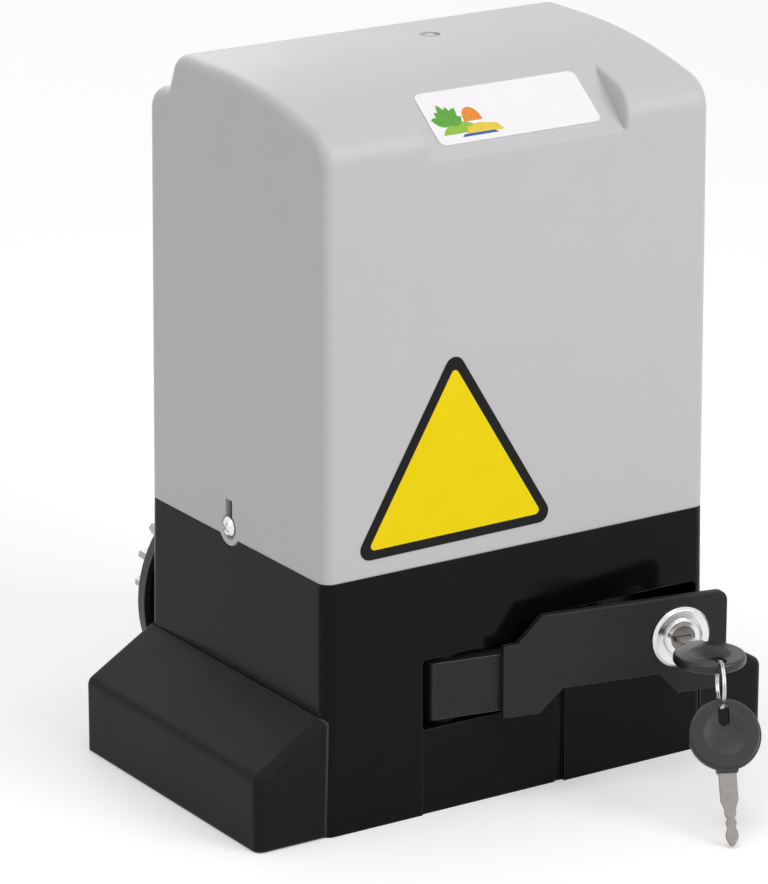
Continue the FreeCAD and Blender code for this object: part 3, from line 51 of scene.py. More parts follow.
# ---------------------------------------------------------------- camera and light, in metres
LENS = 197.41
CAMERA_AT = (-1.14495, -1.72473, 0.81239)
CAMERA_TURN = (90 - 17.91, -0.07, -33.02)
LAMP_TARGET = (0, 0, 0.16)
LAMPS = [                       # name, size, watts, place
    ("front_softbox", (1.4, 1.6), 28.5, (1.1, -2.3, 1.5)),
    ("top_softbox", (1.8, 1.8), 17.0, (-0.3, -0.2, 2.4)),
    ("corner_strip", (0.14, 1.7), 3.2, (-0.05, -2.5, 1.1)),
    ("left_fill", (1.0, 1.4), 3.4, (-2.4, 0.1, 1.0)),
    ("rear_fill", (1.6, 1.2), 9.0, (0.6, 2.4, 1.4)),
]
AMBIENT = 0.37

scene = bpy.context.scene
camera_data = bpy.data.cameras.new("camera")
camera_data.sensor_width = 36.0
camera_data.lens = LENS
camera_data.clip_end = 50.0
camera = bpy.data.objects.new("camera", camera_data)
camera.location = CAMERA_AT
camera.rotation_euler = [math.radians(angle) for angle in CAMERA_TURN]
scene.collection.objects.link(camera)
scene.camera = camera
scene.view_settings.view_transform = "Standard"


def area_light(name, size, power, place):
    data = bpy.data.lights.new(name, "AREA")
    data.shape = "RECTANGLE"
    data.size, data.size_y = size
    data.energy = power
    lamp = bpy.data.objects.new(name, data)
    lamp.location = place
    lamp.rotation_euler = (Vector(LAMP_TARGET) - Vector(place)).to_track_quat("-Z", "Y").to_euler()
    scene.collection.objects.link(lamp)


for name, size, power, place in LAMPS:
    area_light(name, size, power, place)


def new_tree(id_block):
    id_block.use_nodes = True
    tree = id_block.node_tree
    tree.nodes.clear()
    return tree


def seen_directly(tree):
    """1 for camera, mirror and glass rays, 0 for the rays that light the object."""
    path = tree.nodes.new("ShaderNodeLightPath")
    total = path.outputs["Is Camera Ray"]
    for name in ("Is Glossy Ray", "Is Transmission Ray"):
        either = tree.nodes.new("ShaderNodeMath")
        either.operation = "MAXIMUM"
        tree.links.new(total, either.inputs[0])
        tree.links.new(path.outputs[name], either.inputs[1])
        total = either.outputs[0]
    return total


def background(tree, colour, strength):
    node = tree.nodes.new("ShaderNodeBackground")
    node.inputs["Color"].default_value = (*colour, 1)
    node.inputs["Strength"].default_value = strength
    return node.outputs[0]


world = bpy.data.worlds.new("world")
scene.world = world
tree = new_tree(world)
mix = tree.nodes.new("ShaderNodeMixShader")
world_out = tree.nodes.new("ShaderNodeOutputWorld")
tree.links.new(seen_directly(tree), mix.inputs[0])
tree.links.new(background(tree, (1.0, 0.99, 1.0), AMBIENT), mix.inputs[1])
tree.links.new(background(tree, (1, 1, 1), 1.0), mix.inputs[2])
tree.links.new(mix.outputs[0], world_out.inputs[0])


# ---------------------------------------------------------------- materials
SMUDGE_SCALE = 45.0             # noise that spreads the roughness
SPECK_SCALE = 1400.0            # noise that breaks the painted edge highlight into specks
HIGHLIGHT_FROM = 0.985               # cosine between face and rounded normal where the painted edge highlight starts
HIGHLIGHT_FULL = 0.86                # and where it is full


def noise(tree, vector, scale, detail):
    node = tree.nodes.new("ShaderNodeTexNoise")
    node.inputs["Scale"].default_value = scale
    node.inputs["Detail"].default_value = detail
    tree.links.new(vector, node.inputs["Vector"])
    return node.outputs["Fac"]


def colour_mix(tree, share, low, high):
    node = tree.nodes.new("ShaderNodeMix")
    node.data_type = "RGBA"
    node.inputs["A"].default_value = (*low, 1)
    node.inputs["B"].default_value = (*high, 1)
    tree.links.new(share, node.inputs["Factor"])
    return node


def placed_coordinates(tree, place):
    """The object's own coordinates, moved to the frame of a piece where place is given."""
    coords = tree.nodes.new("ShaderNodeTexCoord")
    mapping = tree.nodes.new("ShaderNodeMapping")
    tree.links.new(coords.outputs["Object"], mapping.inputs["Vector"])
    if place:
        back = place.inverted()
        mapping.inputs["Location"].default_value = back.translation
        mapping.inputs["Rotation"].default_value = back.to_euler()
    return mapping.outputs[0]


def painted_highlight_mask(tree, vector, rounded):
    """Mask of a painted edge highlight: 0 on flat faces, rising in specks towards edges, where the rounded normal
    turns away.
    """
    geometry = tree.nodes.new("ShaderNodeNewGeometry")
    turned = tree.nodes.new("ShaderNodeVectorMath")
    turned.operation = "DOT_PRODUCT"
    tree.links.new(rounded, turned.inputs[0])
    tree.links.new(geometry.outputs["True Normal"], turned.inputs[1])
    highlight_ramp = tree.nodes.new("ShaderNodeMapRange")
    highlight_ramp.inputs["From Min"].default_value = HIGHLIGHT_FROM
    highlight_ramp.inputs["From Max"].default_value = HIGHLIGHT_FULL
    tree.links.new(turned.outputs["Value"], highlight_ramp.inputs["Value"])
    share = tree.nodes.new("ShaderNodeMath")
    share.operation = "MULTIPLY"
    tree.links.new(highlight_ramp.outputs[0], share.inputs[0])
    tree.links.new(noise(tree, vector, SPECK_SCALE, 2.0), share.inputs[1])
    return share.outputs[0]


def turned_lines(tree, vector, spacing, kind, direction):
    """Tool marks or layers that repeat at the given spacing."""
    wave = tree.nodes.new("ShaderNodeTexWave")
    wave.wave_type = kind
    setattr(wave, "rings_direction" if kind == "RINGS" else "bands_direction", direction)
    wave.inputs["Scale"].default_value = math.pi / 10 / (spacing * MM)
    wave.inputs["Distortion"].default_value = 0.15
    tree.links.new(vector, wave.inputs["Vector"])
    return wave.outputs["Fac"]


def add_bump(tree, height, depth, normal):
    bump = tree.nodes.new("ShaderNodeBump")
    bump.inputs["Distance"].default_value = depth * MM
    bump.inputs["Strength"].default_value = 1.0
    tree.links.new(height, bump.inputs["Height"])
    if normal:
        tree.links.new(normal, bump.inputs["Normal"])
    return bump.outputs[0]


def finish(name, colour, rough, metallic=0.0, grain=None, mottle=None, rough_spread=0.0,
           coat=0.0, coat_rough=0.1, specular=0.5, edge=0.0, highlight_colour=None, lines=None, place=None):
    """Principled material whose colour, roughness and bump vary with procedural textures.

    grain is (size, depth, detail) of the bump. mottle is (size, share of the colour).
    edge is the radius that sharp edges are shaded with, and the colour given for the edge
    highlight is painted in specks along those edges as a highlight. lines is (spacing,
    depth, wave type, direction). place moves the textures to the frame of a piece.
    """
    material = bpy.data.materials.new(name)
    tree = new_tree(material)
    new, link = tree.nodes.new, tree.links.new
    out = new("ShaderNodeOutputMaterial")
    shader = new("ShaderNodeBsdfPrincipled")
    link(shader.outputs[0], out.inputs[0])
    shader.inputs["Metallic"].default_value = metallic
    shader.inputs["Specular IOR Level"].default_value = specular
    shader.inputs["Coat Weight"].default_value = coat
    shader.inputs["Coat Roughness"].default_value = coat_rough
    shader.inputs["Base Color"].default_value = (*colour, 1)
    shader.inputs["Roughness"].default_value = rough
    vector = placed_coordinates(tree, place)
    tint = None
    if mottle:
        size, amount = mottle
        low = [c * (1 - amount) for c in colour]
        high = [min(1.0, c * (1 + amount)) for c in colour]
        tint = colour_mix(tree, noise(tree, vector, 1 / (size * MM), 5.0), low, high).outputs["Result"]
    if rough_spread:
        spread = new("ShaderNodeMapRange")
        spread.inputs["To Min"].default_value = max(0.02, rough - rough_spread)
        spread.inputs["To Max"].default_value = min(1.0, rough + rough_spread)
        link(noise(tree, vector, SMUDGE_SCALE, 6.0), spread.inputs["Value"])
        link(spread.outputs[0], shader.inputs["Roughness"])
    normal = None
    if edge:
        soft = new("ShaderNodeBevel")
        soft.samples = 6
        soft.inputs["Radius"].default_value = edge * MM
        normal = soft.outputs[0]
    # painted highlight: a lighter colour mixed in along sharp edges, broken into specks
    if highlight_colour:
        lit_edge = colour_mix(tree, painted_highlight_mask(tree, vector, normal), colour, highlight_colour)
        if tint:
            link(tint, lit_edge.inputs["A"])
        tint = lit_edge.outputs["Result"]
    if tint:
        link(tint, shader.inputs["Base Color"])
    if lines:
        spacing, depth, kind, direction = lines
        normal = add_bump(tree, turned_lines(tree, vector, spacing, kind, direction), depth, normal)
    if grain:
        size, depth, detail = grain
        normal = add_bump(tree, noise(tree, vector, 1 / (size * MM), detail), depth, normal)
    if normal:
        link(normal, shader.inputs["Normal"])
    return material


def joint_frame(name):
    """Frame at a joint with local Z along the joint's axis."""
    joint = joints[name]
    turn = Vector(joint["axis"]).to_track_quat("Z", "Y").to_matrix().to_4x4()
    return Matrix.Translation(joint["pos_m"]) @ turn


lock_frame = joint_frame("lock_turn")
GREY = (0.60, 0.583, 0.60)
MATERIALS = {
    "cover_plastic": finish("cover_plastic", GREY, 0.40, grain=(0.55, 0.008, 2), mottle=(38, 0.018),
                            rough_spread=0.05, coat=0.08, specular=0.3, edge=1.6),
    # painted highlight along the housing's edges, in the last colour given
    "housing_black": finish("housing_black", (0.0045, 0.0042, 0.0045), 0.14, grain=(2.2, 0.006, 2),
                            specular=0.1, mottle=(20, 0.25), rough_spread=0.04, edge=0.7,
                            highlight_colour=(0.06, 0.058, 0.06)),
    # painted highlight along the foot's edges, in the last colour given
    "foot_plastic": finish("foot_plastic", (0.0105, 0.0098, 0.0108), 0.42, grain=(0.8, 0.05, 3),
                           specular=0.1, mottle=(1.0, 0.35), rough_spread=0.08, edge=1.6,
                           highlight_colour=(0.16, 0.155, 0.16)),
    # painted highlight along the lever's edges, in the last colour given
    "lever_black": finish("lever_black", (0.016, 0.0152, 0.0165), 0.46, grain=(0.9, 0.14, 3),
                          specular=0.24, mottle=(0.9, 0.8), rough_spread=0.1, edge=0.7,
                          highlight_colour=(0.24, 0.235, 0.24)),
    "lock_metal": finish("lock_metal", (0.76, 0.75, 0.74), 0.17, 1.0, grain=(0.5, 0.004, 2),
                         mottle=(3, 0.06), rough_spread=0.06, edge=0.35,
                         lines=(0.45, 0.010, "RINGS", "Z"), place=lock_frame),
    "key_steel": finish("key_steel", (0.27, 0.25, 0.235), 0.36, 1.0, grain=(0.4, 0.02, 3),
                        mottle=(2.5, 0.18), rough_spread=0.12, edge=0.25),
    "key_plastic": finish("key_plastic", (0.013, 0.0125, 0.0135), 0.33, grain=(0.5, 0.02, 2),
                          mottle=(8, 0.2), rough_spread=0.08, edge=0.5),
    "ring_steel": finish("ring_steel", (0.6, 0.6, 0.6), 0.2, 1.0, grain=(0.6, 0.01, 2),
                         mottle=(3, 0.1), rough_spread=0.08),
    "gear_steel": finish("gear_steel", (0.42, 0.42, 0.43), 0.32, 1.0, grain=(0.6, 0.02, 3),
                         mottle=(5, 0.12), rough_spread=0.12, edge=0.3),
    "bronze": finish("bronze", (0.60, 0.39, 0.15), 0.3, 1.0, grain=(0.6, 0.02, 3),
                     mottle=(5, 0.12), rough_spread=0.1, edge=0.3),
    "bearing_steel": finish("bearing_steel", (0.6, 0.6, 0.61), 0.16, 1.0, grain=(0.5, 0.004, 2),
                            mottle=(4, 0.05), rough_spread=0.05, edge=0.3),
    "core_steel": finish("core_steel", (0.22, 0.22, 0.23), 0.45, 0.9, grain=(0.5, 0.02, 1),
                         mottle=(3, 0.15), rough_spread=0.1, lines=(0.7, 0.1, "BANDS", "Z")),
    "copper": finish("copper", (0.50, 0.17, 0.055), 0.35, 0.8, grain=(0.9, 0.05, 1), mottle=(2, 0.2),
                     rough_spread=0.1, lines=(0.9, 0.2, "RINGS", "Z"), place=joint_frame("rotor_spin")),
    "motor_alloy": finish("motor_alloy", (0.5, 0.5, 0.51), 0.46, 0.9, grain=(0.7, 0.05, 4),
                          mottle=(8, 0.1), rough_spread=0.1, edge=0.6),
    "rubber_black": finish("rubber_black", (0.012, 0.012, 0.012), 0.62, grain=(0.7, 0.03, 3),
                           mottle=(6, 0.2), rough_spread=0.1, edge=0.5),
    "zinc_sheet": finish("zinc_sheet", (0.5, 0.51, 0.52), 0.36, 1.0, grain=(6, 0.02, 1),
                         mottle=(9, 0.16), rough_spread=0.14, edge=0.3),
    "board_green": finish("board_green", (0.012, 0.12, 0.045), 0.3, grain=(1.2, 0.03, 1),
                          mottle=(2.2, 0.35), coat=0.4, coat_rough=0.15),
    "component_black": finish("component_black", (0.018, 0.018, 0.019), 0.42, grain=(0.6, 0.02, 2),
                              mottle=(5, 0.2), rough_spread=0.1, edge=0.4),
    "terminal_green": finish("terminal_green", (0.02, 0.24, 0.07), 0.4, grain=(0.6, 0.02, 2),
                             mottle=(5, 0.12), rough_spread=0.06, edge=0.3),
    "capacitor_can": finish("capacitor_can", (0.72, 0.72, 0.70), 0.4, 0.6, grain=(0.8, 0.01, 2),
                            mottle=(8, 0.06), rough_spread=0.08, edge=0.4),
    "screw_steel": finish("screw_steel", (0.80, 0.79, 0.78), 0.26, 1.0, grain=(0.5, 0.01, 2),
                          mottle=(3, 0.1), rough_spread=0.08, edge=0.25),
}

plug_dark = finish("plug_dark", (0.20, 0.195, 0.19), 0.3, 1.0, grain=(0.5, 0.004, 2), mottle=(3, 0.1),
                   rough_spread=0.08, edge=0.3, lines=(0.45, 0.012, "RINGS", "Z"), place=lock_frame)
OWN_FINISH = {"lock_plug": plug_dark}
for part in frame["record"]["subparts"]:
    material = OWN_FINISH.get(part["node"], MATERIALS[part["material_slot"]])
    for place in nodes[part["node"]].material_slots:
        place.material = material


# ---------------------------------------------------------------- mesh tools
def add_bmesh(name, bm, material, body, smooth=False):
    """Object from a finished bmesh that rides on a body of the record."""
    if smooth:
        for face in bm.faces:
            face.smooth = True
    mesh = bpy.data.meshes.new(name)
    bm.to_mesh(mesh)
    bm.free()
    obj = bpy.data.objects.new(name, mesh)
    scene.collection.objects.link(obj)
    mesh.materials.append(material)
    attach(obj, body)
    return obj


def rounded_outline(points, radius, steps=7):
    """Corners of a closed 2-D outline replaced by arcs."""
    result = []
    count = len(points)
    for i, corner in enumerate(points):
        corner = Vector(corner)
        before = (Vector(points[i - 1]) - corner).normalized()
        after = (Vector(points[(i + 1) % count]) - corner).normalized()
        half = before.angle(after) / 2
        reach = radius / math.tan(half)
        centre = corner + (before + after).normalized() * radius / math.sin(half)
        start = corner + before * reach - centre
        stop = corner + after * reach - centre
        turn = start.angle_signed(stop)
        for k in range(steps + 1):
            result.append(centre + Matrix.Rotation(-turn * k / steps, 2) @ start)
    return result


def rectangle(left, right, low, high):
    return [(left, low), (right, low), (right, high), (left, high)]


def sheet_piece(name, outline, thickness, matrix, material, body, bevel=0.0):
    """Flat plate, with its outline and sizes in metres in local XY, standing up along local Z."""
    bm = bmesh.new()
    face = bm.faces.new([bm.verts.new((p[0], p[1], 0)) for p in outline])
    if face.normal.z < 0:
        face.normal_flip()
    grown = bmesh.ops.extrude_face_region(bm, geom=[face])
    top = [v for v in grown["geom"] if isinstance(v, bmesh.types.BMVert)]
    bmesh.ops.translate(bm, verts=top, vec=(0, 0, thickness))
    bmesh.ops.recalc_face_normals(bm, faces=bm.faces)
    if bevel:
        rim = [e for e in bm.edges if all(abs(v.co.z - thickness) < 1e-7 for v in e.verts)]
        bmesh.ops.bevel(bm, geom=rim, offset=bevel, segments=2, affect="EDGES")
    bm.transform(matrix)
    return add_bmesh(name, bm, material, body)


def tube(points, radius, sides=12):
    """Round wire along a polyline, closed at both ends."""
    bm = bmesh.new()
    rings = []
    across = None
    turns = [2 * math.pi * k / sides for k in range(sides)]
    for i, point in enumerate(points):
        ahead = (points[min(i + 1, len(points) - 1)] - points[max(i - 1, 0)]).normalized()
        across = across or ahead.orthogonal()
        across = (across - ahead * across.dot(ahead)).normalized()
        beside = ahead.cross(across)
        spokes = [across * math.cos(a) + beside * math.sin(a) for a in turns]
        rings.append([bm.verts.new(point + spoke * radius) for spoke in spokes])
    for low, high in zip(rings, rings[1:]):
        for k in range(sides):
            after = (k + 1) % sides
            bm.faces.new((low[k], low[after], high[after], high[k]))
    bm.faces.new(rings[0][::-1])
    bm.faces.new(rings[-1])
    bmesh.ops.recalc_face_normals(bm, faces=bm.faces)
    return bm


# ---------------------------------------------------------------- sign on the cover's front
SEAM_Z = 116.0                  # height at which the cover meets the housing
HALF_DEPTH = 75.0
HOUSING_DRAFT = 0.0112
COVER_DRAFT = 0.005
SIGN_LIFT = 0.02                # clear of the cover's face
SIGN_THICK = 0.3
FIELD_THICK = 0.34

front_y = -(HALF_DEPTH - HOUSING_DRAFT * SEAM_Z) * MM
front_turn = Matrix.Rotation(math.radians(90) - math.atan(COVER_DRAFT), 4, "X")
front = Matrix.Translation((0, front_y, SEAM_Z * MM)) @ front_turn
sign_frame = front @ Matrix.Translation((0, 0, SIGN_LIFT * MM))
sticker_black = finish("sticker_black", (0.006, 0.006, 0.006), 0.3, specular=0.15,
                       grain=(3, 0.01, 1), mottle=(12, 0.2))
sticker_yellow = finish("sticker_yellow", (0.97, 0.74, 0.0), 0.3, specular=0.12,
                        grain=(3, 0.01, 1), mottle=(15, 0.05))


def triangle(apex, left, right, radius):
    """Rounded triangle from corners given as x and height above the ground."""
    corners = [(x * MM, (z - SEAM_Z) * MM) for x, z in (apex, left, right)]
    return rounded_outline(corners, radius * MM)


sheet_piece("sign_border", triangle((-34.6, 212.5), (-86.8, 123.5), (18.8, 124.6), 5.0),
            SIGN_THICK * MM, sign_frame, sticker_black, "cover", 0.08 * MM)
sheet_piece("sign_field", triangle((-34.6, 203.8), (-79.4, 127.8), (11.4, 128.8), 2.0),
            FIELD_THICK * MM, sign_frame, sticker_yellow, "cover", 0.05 * MM)

# ---------------------------------------------------------------- label plate and its picture
LABEL_FOOT = (0, -72.6, 294.8)  # lower edge of the recess's sloping floor
LABEL_SLOPE = 37.6              # of that floor, in degrees
LABEL_LIFT = 0.02
PLATE_THICK = 0.55
PLATE_CORNER_R = 3.0
PICTURE_FOOT = 11.0             # the picture is stretched up the slope from this line
PICTURE_STRETCH = 1.35
PICTURE_SHIFT = -3.6
PICTURE_BASE = 0.60             # thickness of the lowest layer of print
LAYER_STEP = 0.02
LEAF_STALK = (-24.0, 16.0)
HILL_LEFT, HILL_FOOT, HILL_WIDTH, HILL_RISE = -30.0, 12.2, 21, 4.6

foot = Vector(LABEL_FOOT) * MM
label_floor = Matrix.Translation(foot) @ Matrix.Rotation(math.radians(LABEL_SLOPE), 4, "X")
label_frame = label_floor @ Matrix.Translation((0, 0, LABEL_LIFT * MM))
label_white = finish("label_white", (0.94, 0.925, 0.94), 0.28, grain=(3, 0.006, 1),
                     mottle=(12, 0.01), coat=0.2)
INKS = {
    "leaf_green": (0.10, 0.36, 0.03),
    "meadow_green": (0.28, 0.52, 0.04),
    "sun_orange": (0.85, 0.26, 0.02),
    "field_yellow": (0.85, 0.60, 0.05),
    "water_blue": (0.03, 0.10, 0.35),
}


def on_label(name, outline, height, material):
    points = [(x * MM, y * MM) for x, y in outline]
    sheet_piece(name, points, height * MM, label_frame, material, "cover")


def on_picture(name, outline, layer, ink):
    points = [(x + PICTURE_SHIFT, PICTURE_FOOT + (y - PICTURE_FOOT) * PICTURE_STRETCH) for x, y in outline]
    on_label("picture_" + name, points, PICTURE_BASE + LAYER_STEP * layer, prints[ink])


def arc(x, y, radius, start, stop, count=28):
    turns = [math.radians(start + (stop - start) * i / count) for i in range(count + 1)]
    return [(x + radius * math.cos(a), y + radius * math.sin(a)) for a in turns]


def leaf(x, y, length, half, turn, count=8):
    """Pointed oval whose stalk end is at x, y."""
    c, s = math.cos(math.radians(turn)), math.sin(math.radians(turn))
    side = [(length * i / count, half * math.sin(math.pi * i / count) ** 0.8) for i in range(count + 1)]
    loop = side + [(u, -v) for u, v in side[-2:0:-1]]
    return [(x + u * c - v * s, y + u * s + v * c) for u, v in loop]


def hill_outline():
    """Flat-footed mound with a full, round back."""
    ridge = [(i, HILL_RISE * math.sin(math.pi * i / HILL_WIDTH) ** 0.7) for i in range(1, HILL_WIDTH)]
    back = [(HILL_LEFT + dx, HILL_FOOT + dy) for dx, dy in ridge]
    return [(HILL_LEFT, HILL_FOOT)] + back + [(HILL_LEFT + HILL_WIDTH, HILL_FOOT)]


plate = rounded_outline(rectangle(-37.6, 45.9, 7.7, 36.4), PLATE_CORNER_R)
on_label("label_plate", [tuple(p) for p in plate], PLATE_THICK, label_white)
prints = {name: finish(name, colour, 0.3, grain=(3, 0.006, 1), mottle=(1.4, 0.25))
          for name, colour in INKS.items()}
on_picture("hill", hill_outline(), 1, "meadow_green")
field = [(-18.5, 11.4), (0.5, 11.4), (-1.5, 14.2), (-10, 15.4), (-16.5, 14.4)]
on_picture("field", field, 2, "field_yellow")
on_picture("sun", arc(-12.0, 17.4, 4.6, -12, 192), 0, "sun_orange")
on_picture("water", [(-21.5, 10.6), (-3.0, 10.6), (-4.5, 11.6), (-20.0, 11.6)], 3, "water_blue")
for number, turn in enumerate(range(20, 161, 28)):
    long = 8.6 if number % 2 else 7.4
    on_picture(f"leaf_{number}", leaf(*LEAF_STALK, long, 1.9, turn), 3 + number, "leaf_green")

# ---------------------------------------------------------------- split ring
RING_R = 10.3
WIRE_R = 0.46
WIRE_PITCH = 0.86               # between the two turns of wire, side by side
RING_TURNS = 1.94
TURN_STEPS = 72
CROSS_FROM = 0.84               # the wire crosses over once, from this turn
CROSS_TURNS = 0.22
WIRE_START = 2.4                # in radians

ring = joint_frame("ring_turn")
path = []
for i in range(int(TURN_STEPS * RING_TURNS) + 1):
    turns = i / TURN_STEPS
    cross = min(1.0, max(0.0, (turns - CROSS_FROM) / CROSS_TURNS))
    shift = (cross * cross * (3 - 2 * cross) - 0.5) * WIRE_PITCH
    angle = 2 * math.pi * turns + WIRE_START
    path.append(ring @ Vector((RING_R * math.cos(angle) * MM, RING_R * math.sin(angle) * MM, shift * MM)))
split_ring = add_bmesh("split_ring", tube(path, WIRE_R * MM), MATERIALS["ring_steel"], "key_ring",
                       smooth=True)
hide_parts("key_ring")

# ---------------------------------------------------------------- key blades with rounded cuts
HEAD_R = 16.2
HEAD_T = 4.4
KEY_OUT = 29.2                  # key head's centre, in front of the lock's joint
BLADE_L = 33.7
BLADE_T = 2.0
BLADE_ROOT = (3.8, 10.7)        # half width and place of the blade's end inside the head
BLADE_HALF_MAX = 3.95
BLADE_EDGE = 0.15
RING_WIRE = 0.9                 # wire radius of the CAD ring, which the spare key hangs on
WEB_CLEAR = 0.12
WEB_INSET = 2.3
TIP_CLEAR = 1.1                 # spare key's tip above the ground
CURVE_STEPS = 4
CUTS = [                        # distance from the head's edge, half width
    (0, 4.0), (12.2, 4.0), (14.0, 3.6), (17.0, 2.6), (18.6, 2.55), (20.0, 2.3), (21.3, 1.7),
    (22.8, 2.35), (24.0, 2.3), (25.4, 1.85), (27.0, 2.4), (28.6, 2.8), (30.4, 2.5), (32.4, 1.5),
    (33.5, 0.4),
]


def smooth_through(points):
    """Catmull-Rom curve through the points, without the last one."""
    last = len(points) - 1
    curve = []
    for i in range(last):
        p0, p1, p2, p3 = (points[min(max(j, 0), last)] for j in (i - 1, i, i + 1, i + 2))
        for k in range(CURVE_STEPS):
            t = k / CURVE_STEPS
            square = (2 * p0 - 5 * p1 + 4 * p2 - p3) * t * t
            cube = (3 * p1 - p0 - 3 * p2 + p3) * t ** 3
            curve.append(0.5 * (2 * p1 + (p2 - p0) * t + square + cube))
    return curve


def key_blade(name, matrix, node, body):
    """Blade in the key's own frame: head centre at the origin, tip towards local Y."""
    right = [Vector((width, HEAD_R + distance)) for distance, width in CUTS]
    curve = [Vector((min(p.x, BLADE_HALF_MAX), p.y)) for p in smooth_through(right)]
    half = [Vector(BLADE_ROOT)] + curve + [right[-1]]
    loop = [(p.x * MM, p.y * MM) for p in half] + [(-p.x * MM, p.y * MM) for p in reversed(half)]
    underside = matrix @ Matrix.Translation((0, 0, -BLADE_T / 2 * MM))
    blade = sheet_piece(name, loop, BLADE_T * MM, underside, MATERIALS["key_steel"], body, BLADE_EDGE * MM)
    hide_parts(node)


upward = Vector((0, 0, 1))
lock_point = Vector(joints["lock_turn"]["pos_m"])
outward = Vector(joints["lock_turn"]["axis"])
key_turn = Matrix((upward.cross(outward), -outward, upward)).transposed().to_4x4()
main_key = Matrix.Translation(lock_point + outward * KEY_OUT * MM) @ key_turn
key_blade("main_key_cut", main_key, "key_blade", "key")

ring_at = Vector(joints["ring_turn"]["pos_m"])
ring_side = Vector(joints["ring_turn"]["axis"])
heading = upward.cross(ring_side)
reach = math.sqrt((RING_R - RING_WIRE) ** 2 - (HEAD_T / 2) ** 2) - WEB_CLEAR - WEB_INSET + HEAD_R
lean = math.acos((ring_at.z / MM - TIP_CLEAR) / (reach + HEAD_R + BLADE_L))
hung = Matrix((ring_side, -upward, heading)).transposed().to_4x4()
lean_turn = Matrix.Translation(ring_at) @ Matrix.Rotation(lean, 4, ring_side)
spare_key = lean_turn @ Matrix.Translation(-upward * reach * MM) @ hung
key_blade("spare_key_cut", spare_key, "spare_key_blade", "spare_key")

# ---------------------------------------------------------------- electrics under the cover
BOARD_FACE = 58.6               # y of the board's rear face
TERMINAL_STARTS = (-54, -4, 46)
TERMINAL_PITCH = 6.5
TERMINAL_WAYS = 6
TERMINAL_SCREW_Z = 157.0
TERMINAL_PIN_Z = 163.2
RELAY_LEFTS = (-50, -30, -10)
RELAY_WIDTH = 15
RELAY_Z = (240, 259)
RELAY_TOP = 9.5                 # above the board, as are the heights below
RELAY_LID = 0.5
CAPACITOR_TOP = 9.0
CAPACITOR_LID = 0.25
PAD_HEIGHT = 0.12


def studs(name, places, radius, low, high, material, sides=14, slotted=False):
    """Round heads on the board, from low to high above its face, at (x, z) places."""
    bm = bmesh.new()
    low, high = BOARD_FACE + low, BOARD_FACE + high
    for x, z in places:
        made = bmesh.ops.create_cone(bm, cap_ends=True, segments=sides, radius1=radius * MM,
                                     radius2=radius * 0.86 * MM, depth=(high - low) * MM)
        middle = Matrix.Translation((x * MM, (low + high) / 2 * MM, z * MM))
        turn = middle @ Matrix.Rotation(-math.pi / 2, 4, "X")
        bmesh.ops.transform(bm, matrix=turn, verts=made["verts"])
        if slotted:
            bar = bmesh.ops.create_cube(bm, size=MM)
            size = Matrix.Diagonal((radius * 1.5, 0.2, radius * 0.3, 1))
            top = Matrix.Translation((x * MM, high * MM, z * MM))
            turn = top @ Matrix.Rotation(0.6 + x, 4, "Y") @ size
            bmesh.ops.transform(bm, matrix=turn, verts=bar["verts"])
    add_bmesh(name, bm, material, "base")


def terminal_row(z):
    middles = [(i + 0.5) * TERMINAL_PITCH for i in range(TERMINAL_WAYS)]
    return [(start + middle, z) for start in TERMINAL_STARTS for middle in middles]


solder = finish("solder", (0.62, 0.61, 0.58), 0.3, 1.0, grain=(0.5, 0.02, 2), mottle=(3, 0.1),
                rough_spread=0.08)
gold = finish("gold_pads", (0.72, 0.50, 0.18), 0.3, 1.0, grain=(0.5, 0.01, 2), mottle=(3, 0.1),
              rough_spread=0.08)
relay_blue = finish("relay_blue", (0.02, 0.07, 0.26), 0.32, grain=(0.6, 0.01, 2), mottle=(5, 0.1),
                    edge=0.4)

studs("terminal_screws", terminal_row(TERMINAL_SCREW_Z), 1.7, 6.0, 7.6, solder, slotted=True)
corners = [(x, z) for x in (-56, 82) for z in (152, 276)]
studs("board_screws", corners, 1.85, 0.0, 1.8, solder, slotted=True)
studs("capacitor_tops", [(60, 248), (74, 248)], 3.7, CAPACITOR_TOP, CAPACITOR_TOP + CAPACITOR_LID,
      solder, 20)

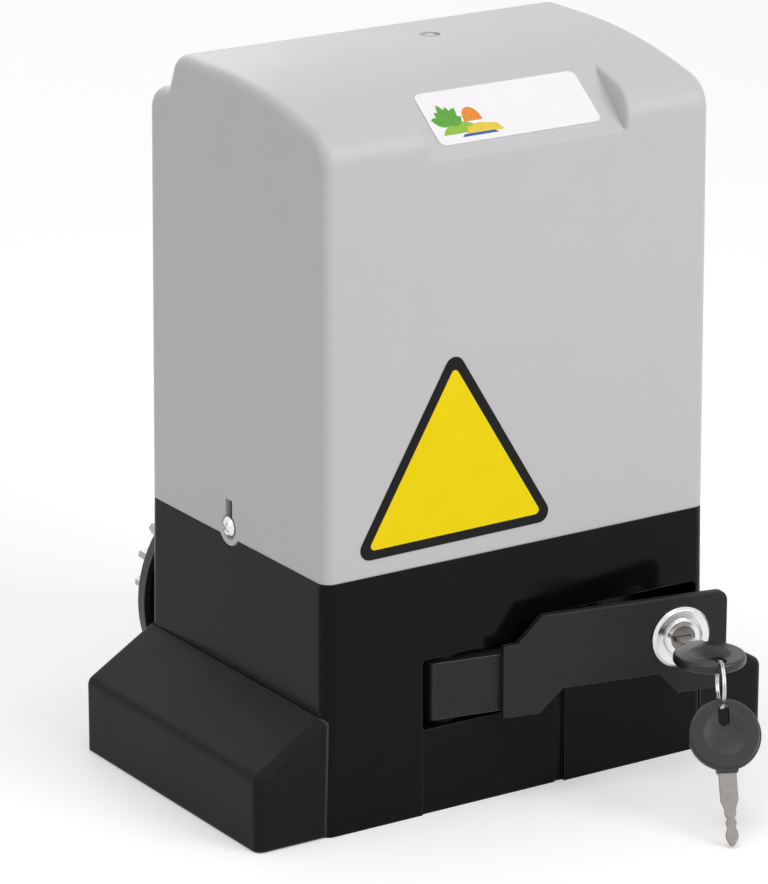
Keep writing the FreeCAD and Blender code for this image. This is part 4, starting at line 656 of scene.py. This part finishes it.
wide_chip_pins = [(x, z) for x in range(-18, 10, 4) for z in (203.6, 215.4)]
small_chip_pins = [(x, z) for x in range(26, 40, 3) for z in (198.6, 217.4)]
relay_pins = [(left + dx, z) for left in RELAY_LEFTS for dx in (2, 13) for z in (237, 262)]
board_rows = [(x, z) for x in range(-56, 84, 7) for z in (190, 225, 272)]
pads = wide_chip_pins + small_chip_pins + terminal_row(TERMINAL_PIN_Z) + relay_pins + board_rows
studs("board_pads", pads, 0.75, 0.0, PAD_HEIGHT, gold, 8)

relay_face = Matrix.Translation((0, (BOARD_FACE + RELAY_TOP) * MM, 0)) @ Matrix.Rotation(math.pi / 2, 4, "X")
relay_rear = relay_face @ Matrix.Scale(-1, 4, (0, 0, 1))
for number, left in enumerate(RELAY_LEFTS):
    edges = [(x * MM, z * MM) for x, z in rectangle(left, left + RELAY_WIDTH, *RELAY_Z)]
    lid = [tuple(p) for p in rounded_outline(edges, 0.8 * MM, 3)]
    sheet_piece(f"relay_top_{number}", lid, RELAY_LID * MM, relay_rear, relay_blue, "base", 0.2 * MM)

# ---------------------------------------------------------------- floor
FLOOR_HALF = 6.0                # metres
FLOOR_COLOUR = (0.9, 0.9, 0.9, 1)
FLOOR_GLOW = 0.3                # added for the rays that see the floor, not for those that light

floor_mesh = bpy.data.meshes.new("floor")
bm = bmesh.new()
bmesh.ops.create_grid(bm, x_segments=1, y_segments=1, size=FLOOR_HALF)
bm.to_mesh(floor_mesh)
bm.free()
floor = bpy.data.objects.new("floor", floor_mesh)
scene.collection.objects.link(floor)
floor_material = bpy.data.materials.new("floor")
tree = new_tree(floor_material)
matte = tree.nodes.new("ShaderNodeBsdfDiffuse")
matte.inputs["Color"].default_value = FLOOR_COLOUR
glow = tree.nodes.new("ShaderNodeEmission")
glow.inputs["Color"].default_value = (1, 1, 1, 1)
lit = tree.nodes.new("ShaderNodeMath")
lit.operation = "MULTIPLY"
lit.inputs[1].default_value = FLOOR_GLOW
tree.links.new(seen_directly(tree), lit.inputs[0])
tree.links.new(lit.outputs[0], glow.inputs["Strength"])
both = tree.nodes.new("ShaderNodeAddShader")
tree.links.new(matte.outputs[0], both.inputs[0])
tree.links.new(glow.outputs[0], both.inputs[1])
floor_out = tree.nodes.new("ShaderNodeOutputMaterial")
tree.links.new(both.outputs[0], floor_out.inputs[0])
floor_mesh.materials.append(floor_material)
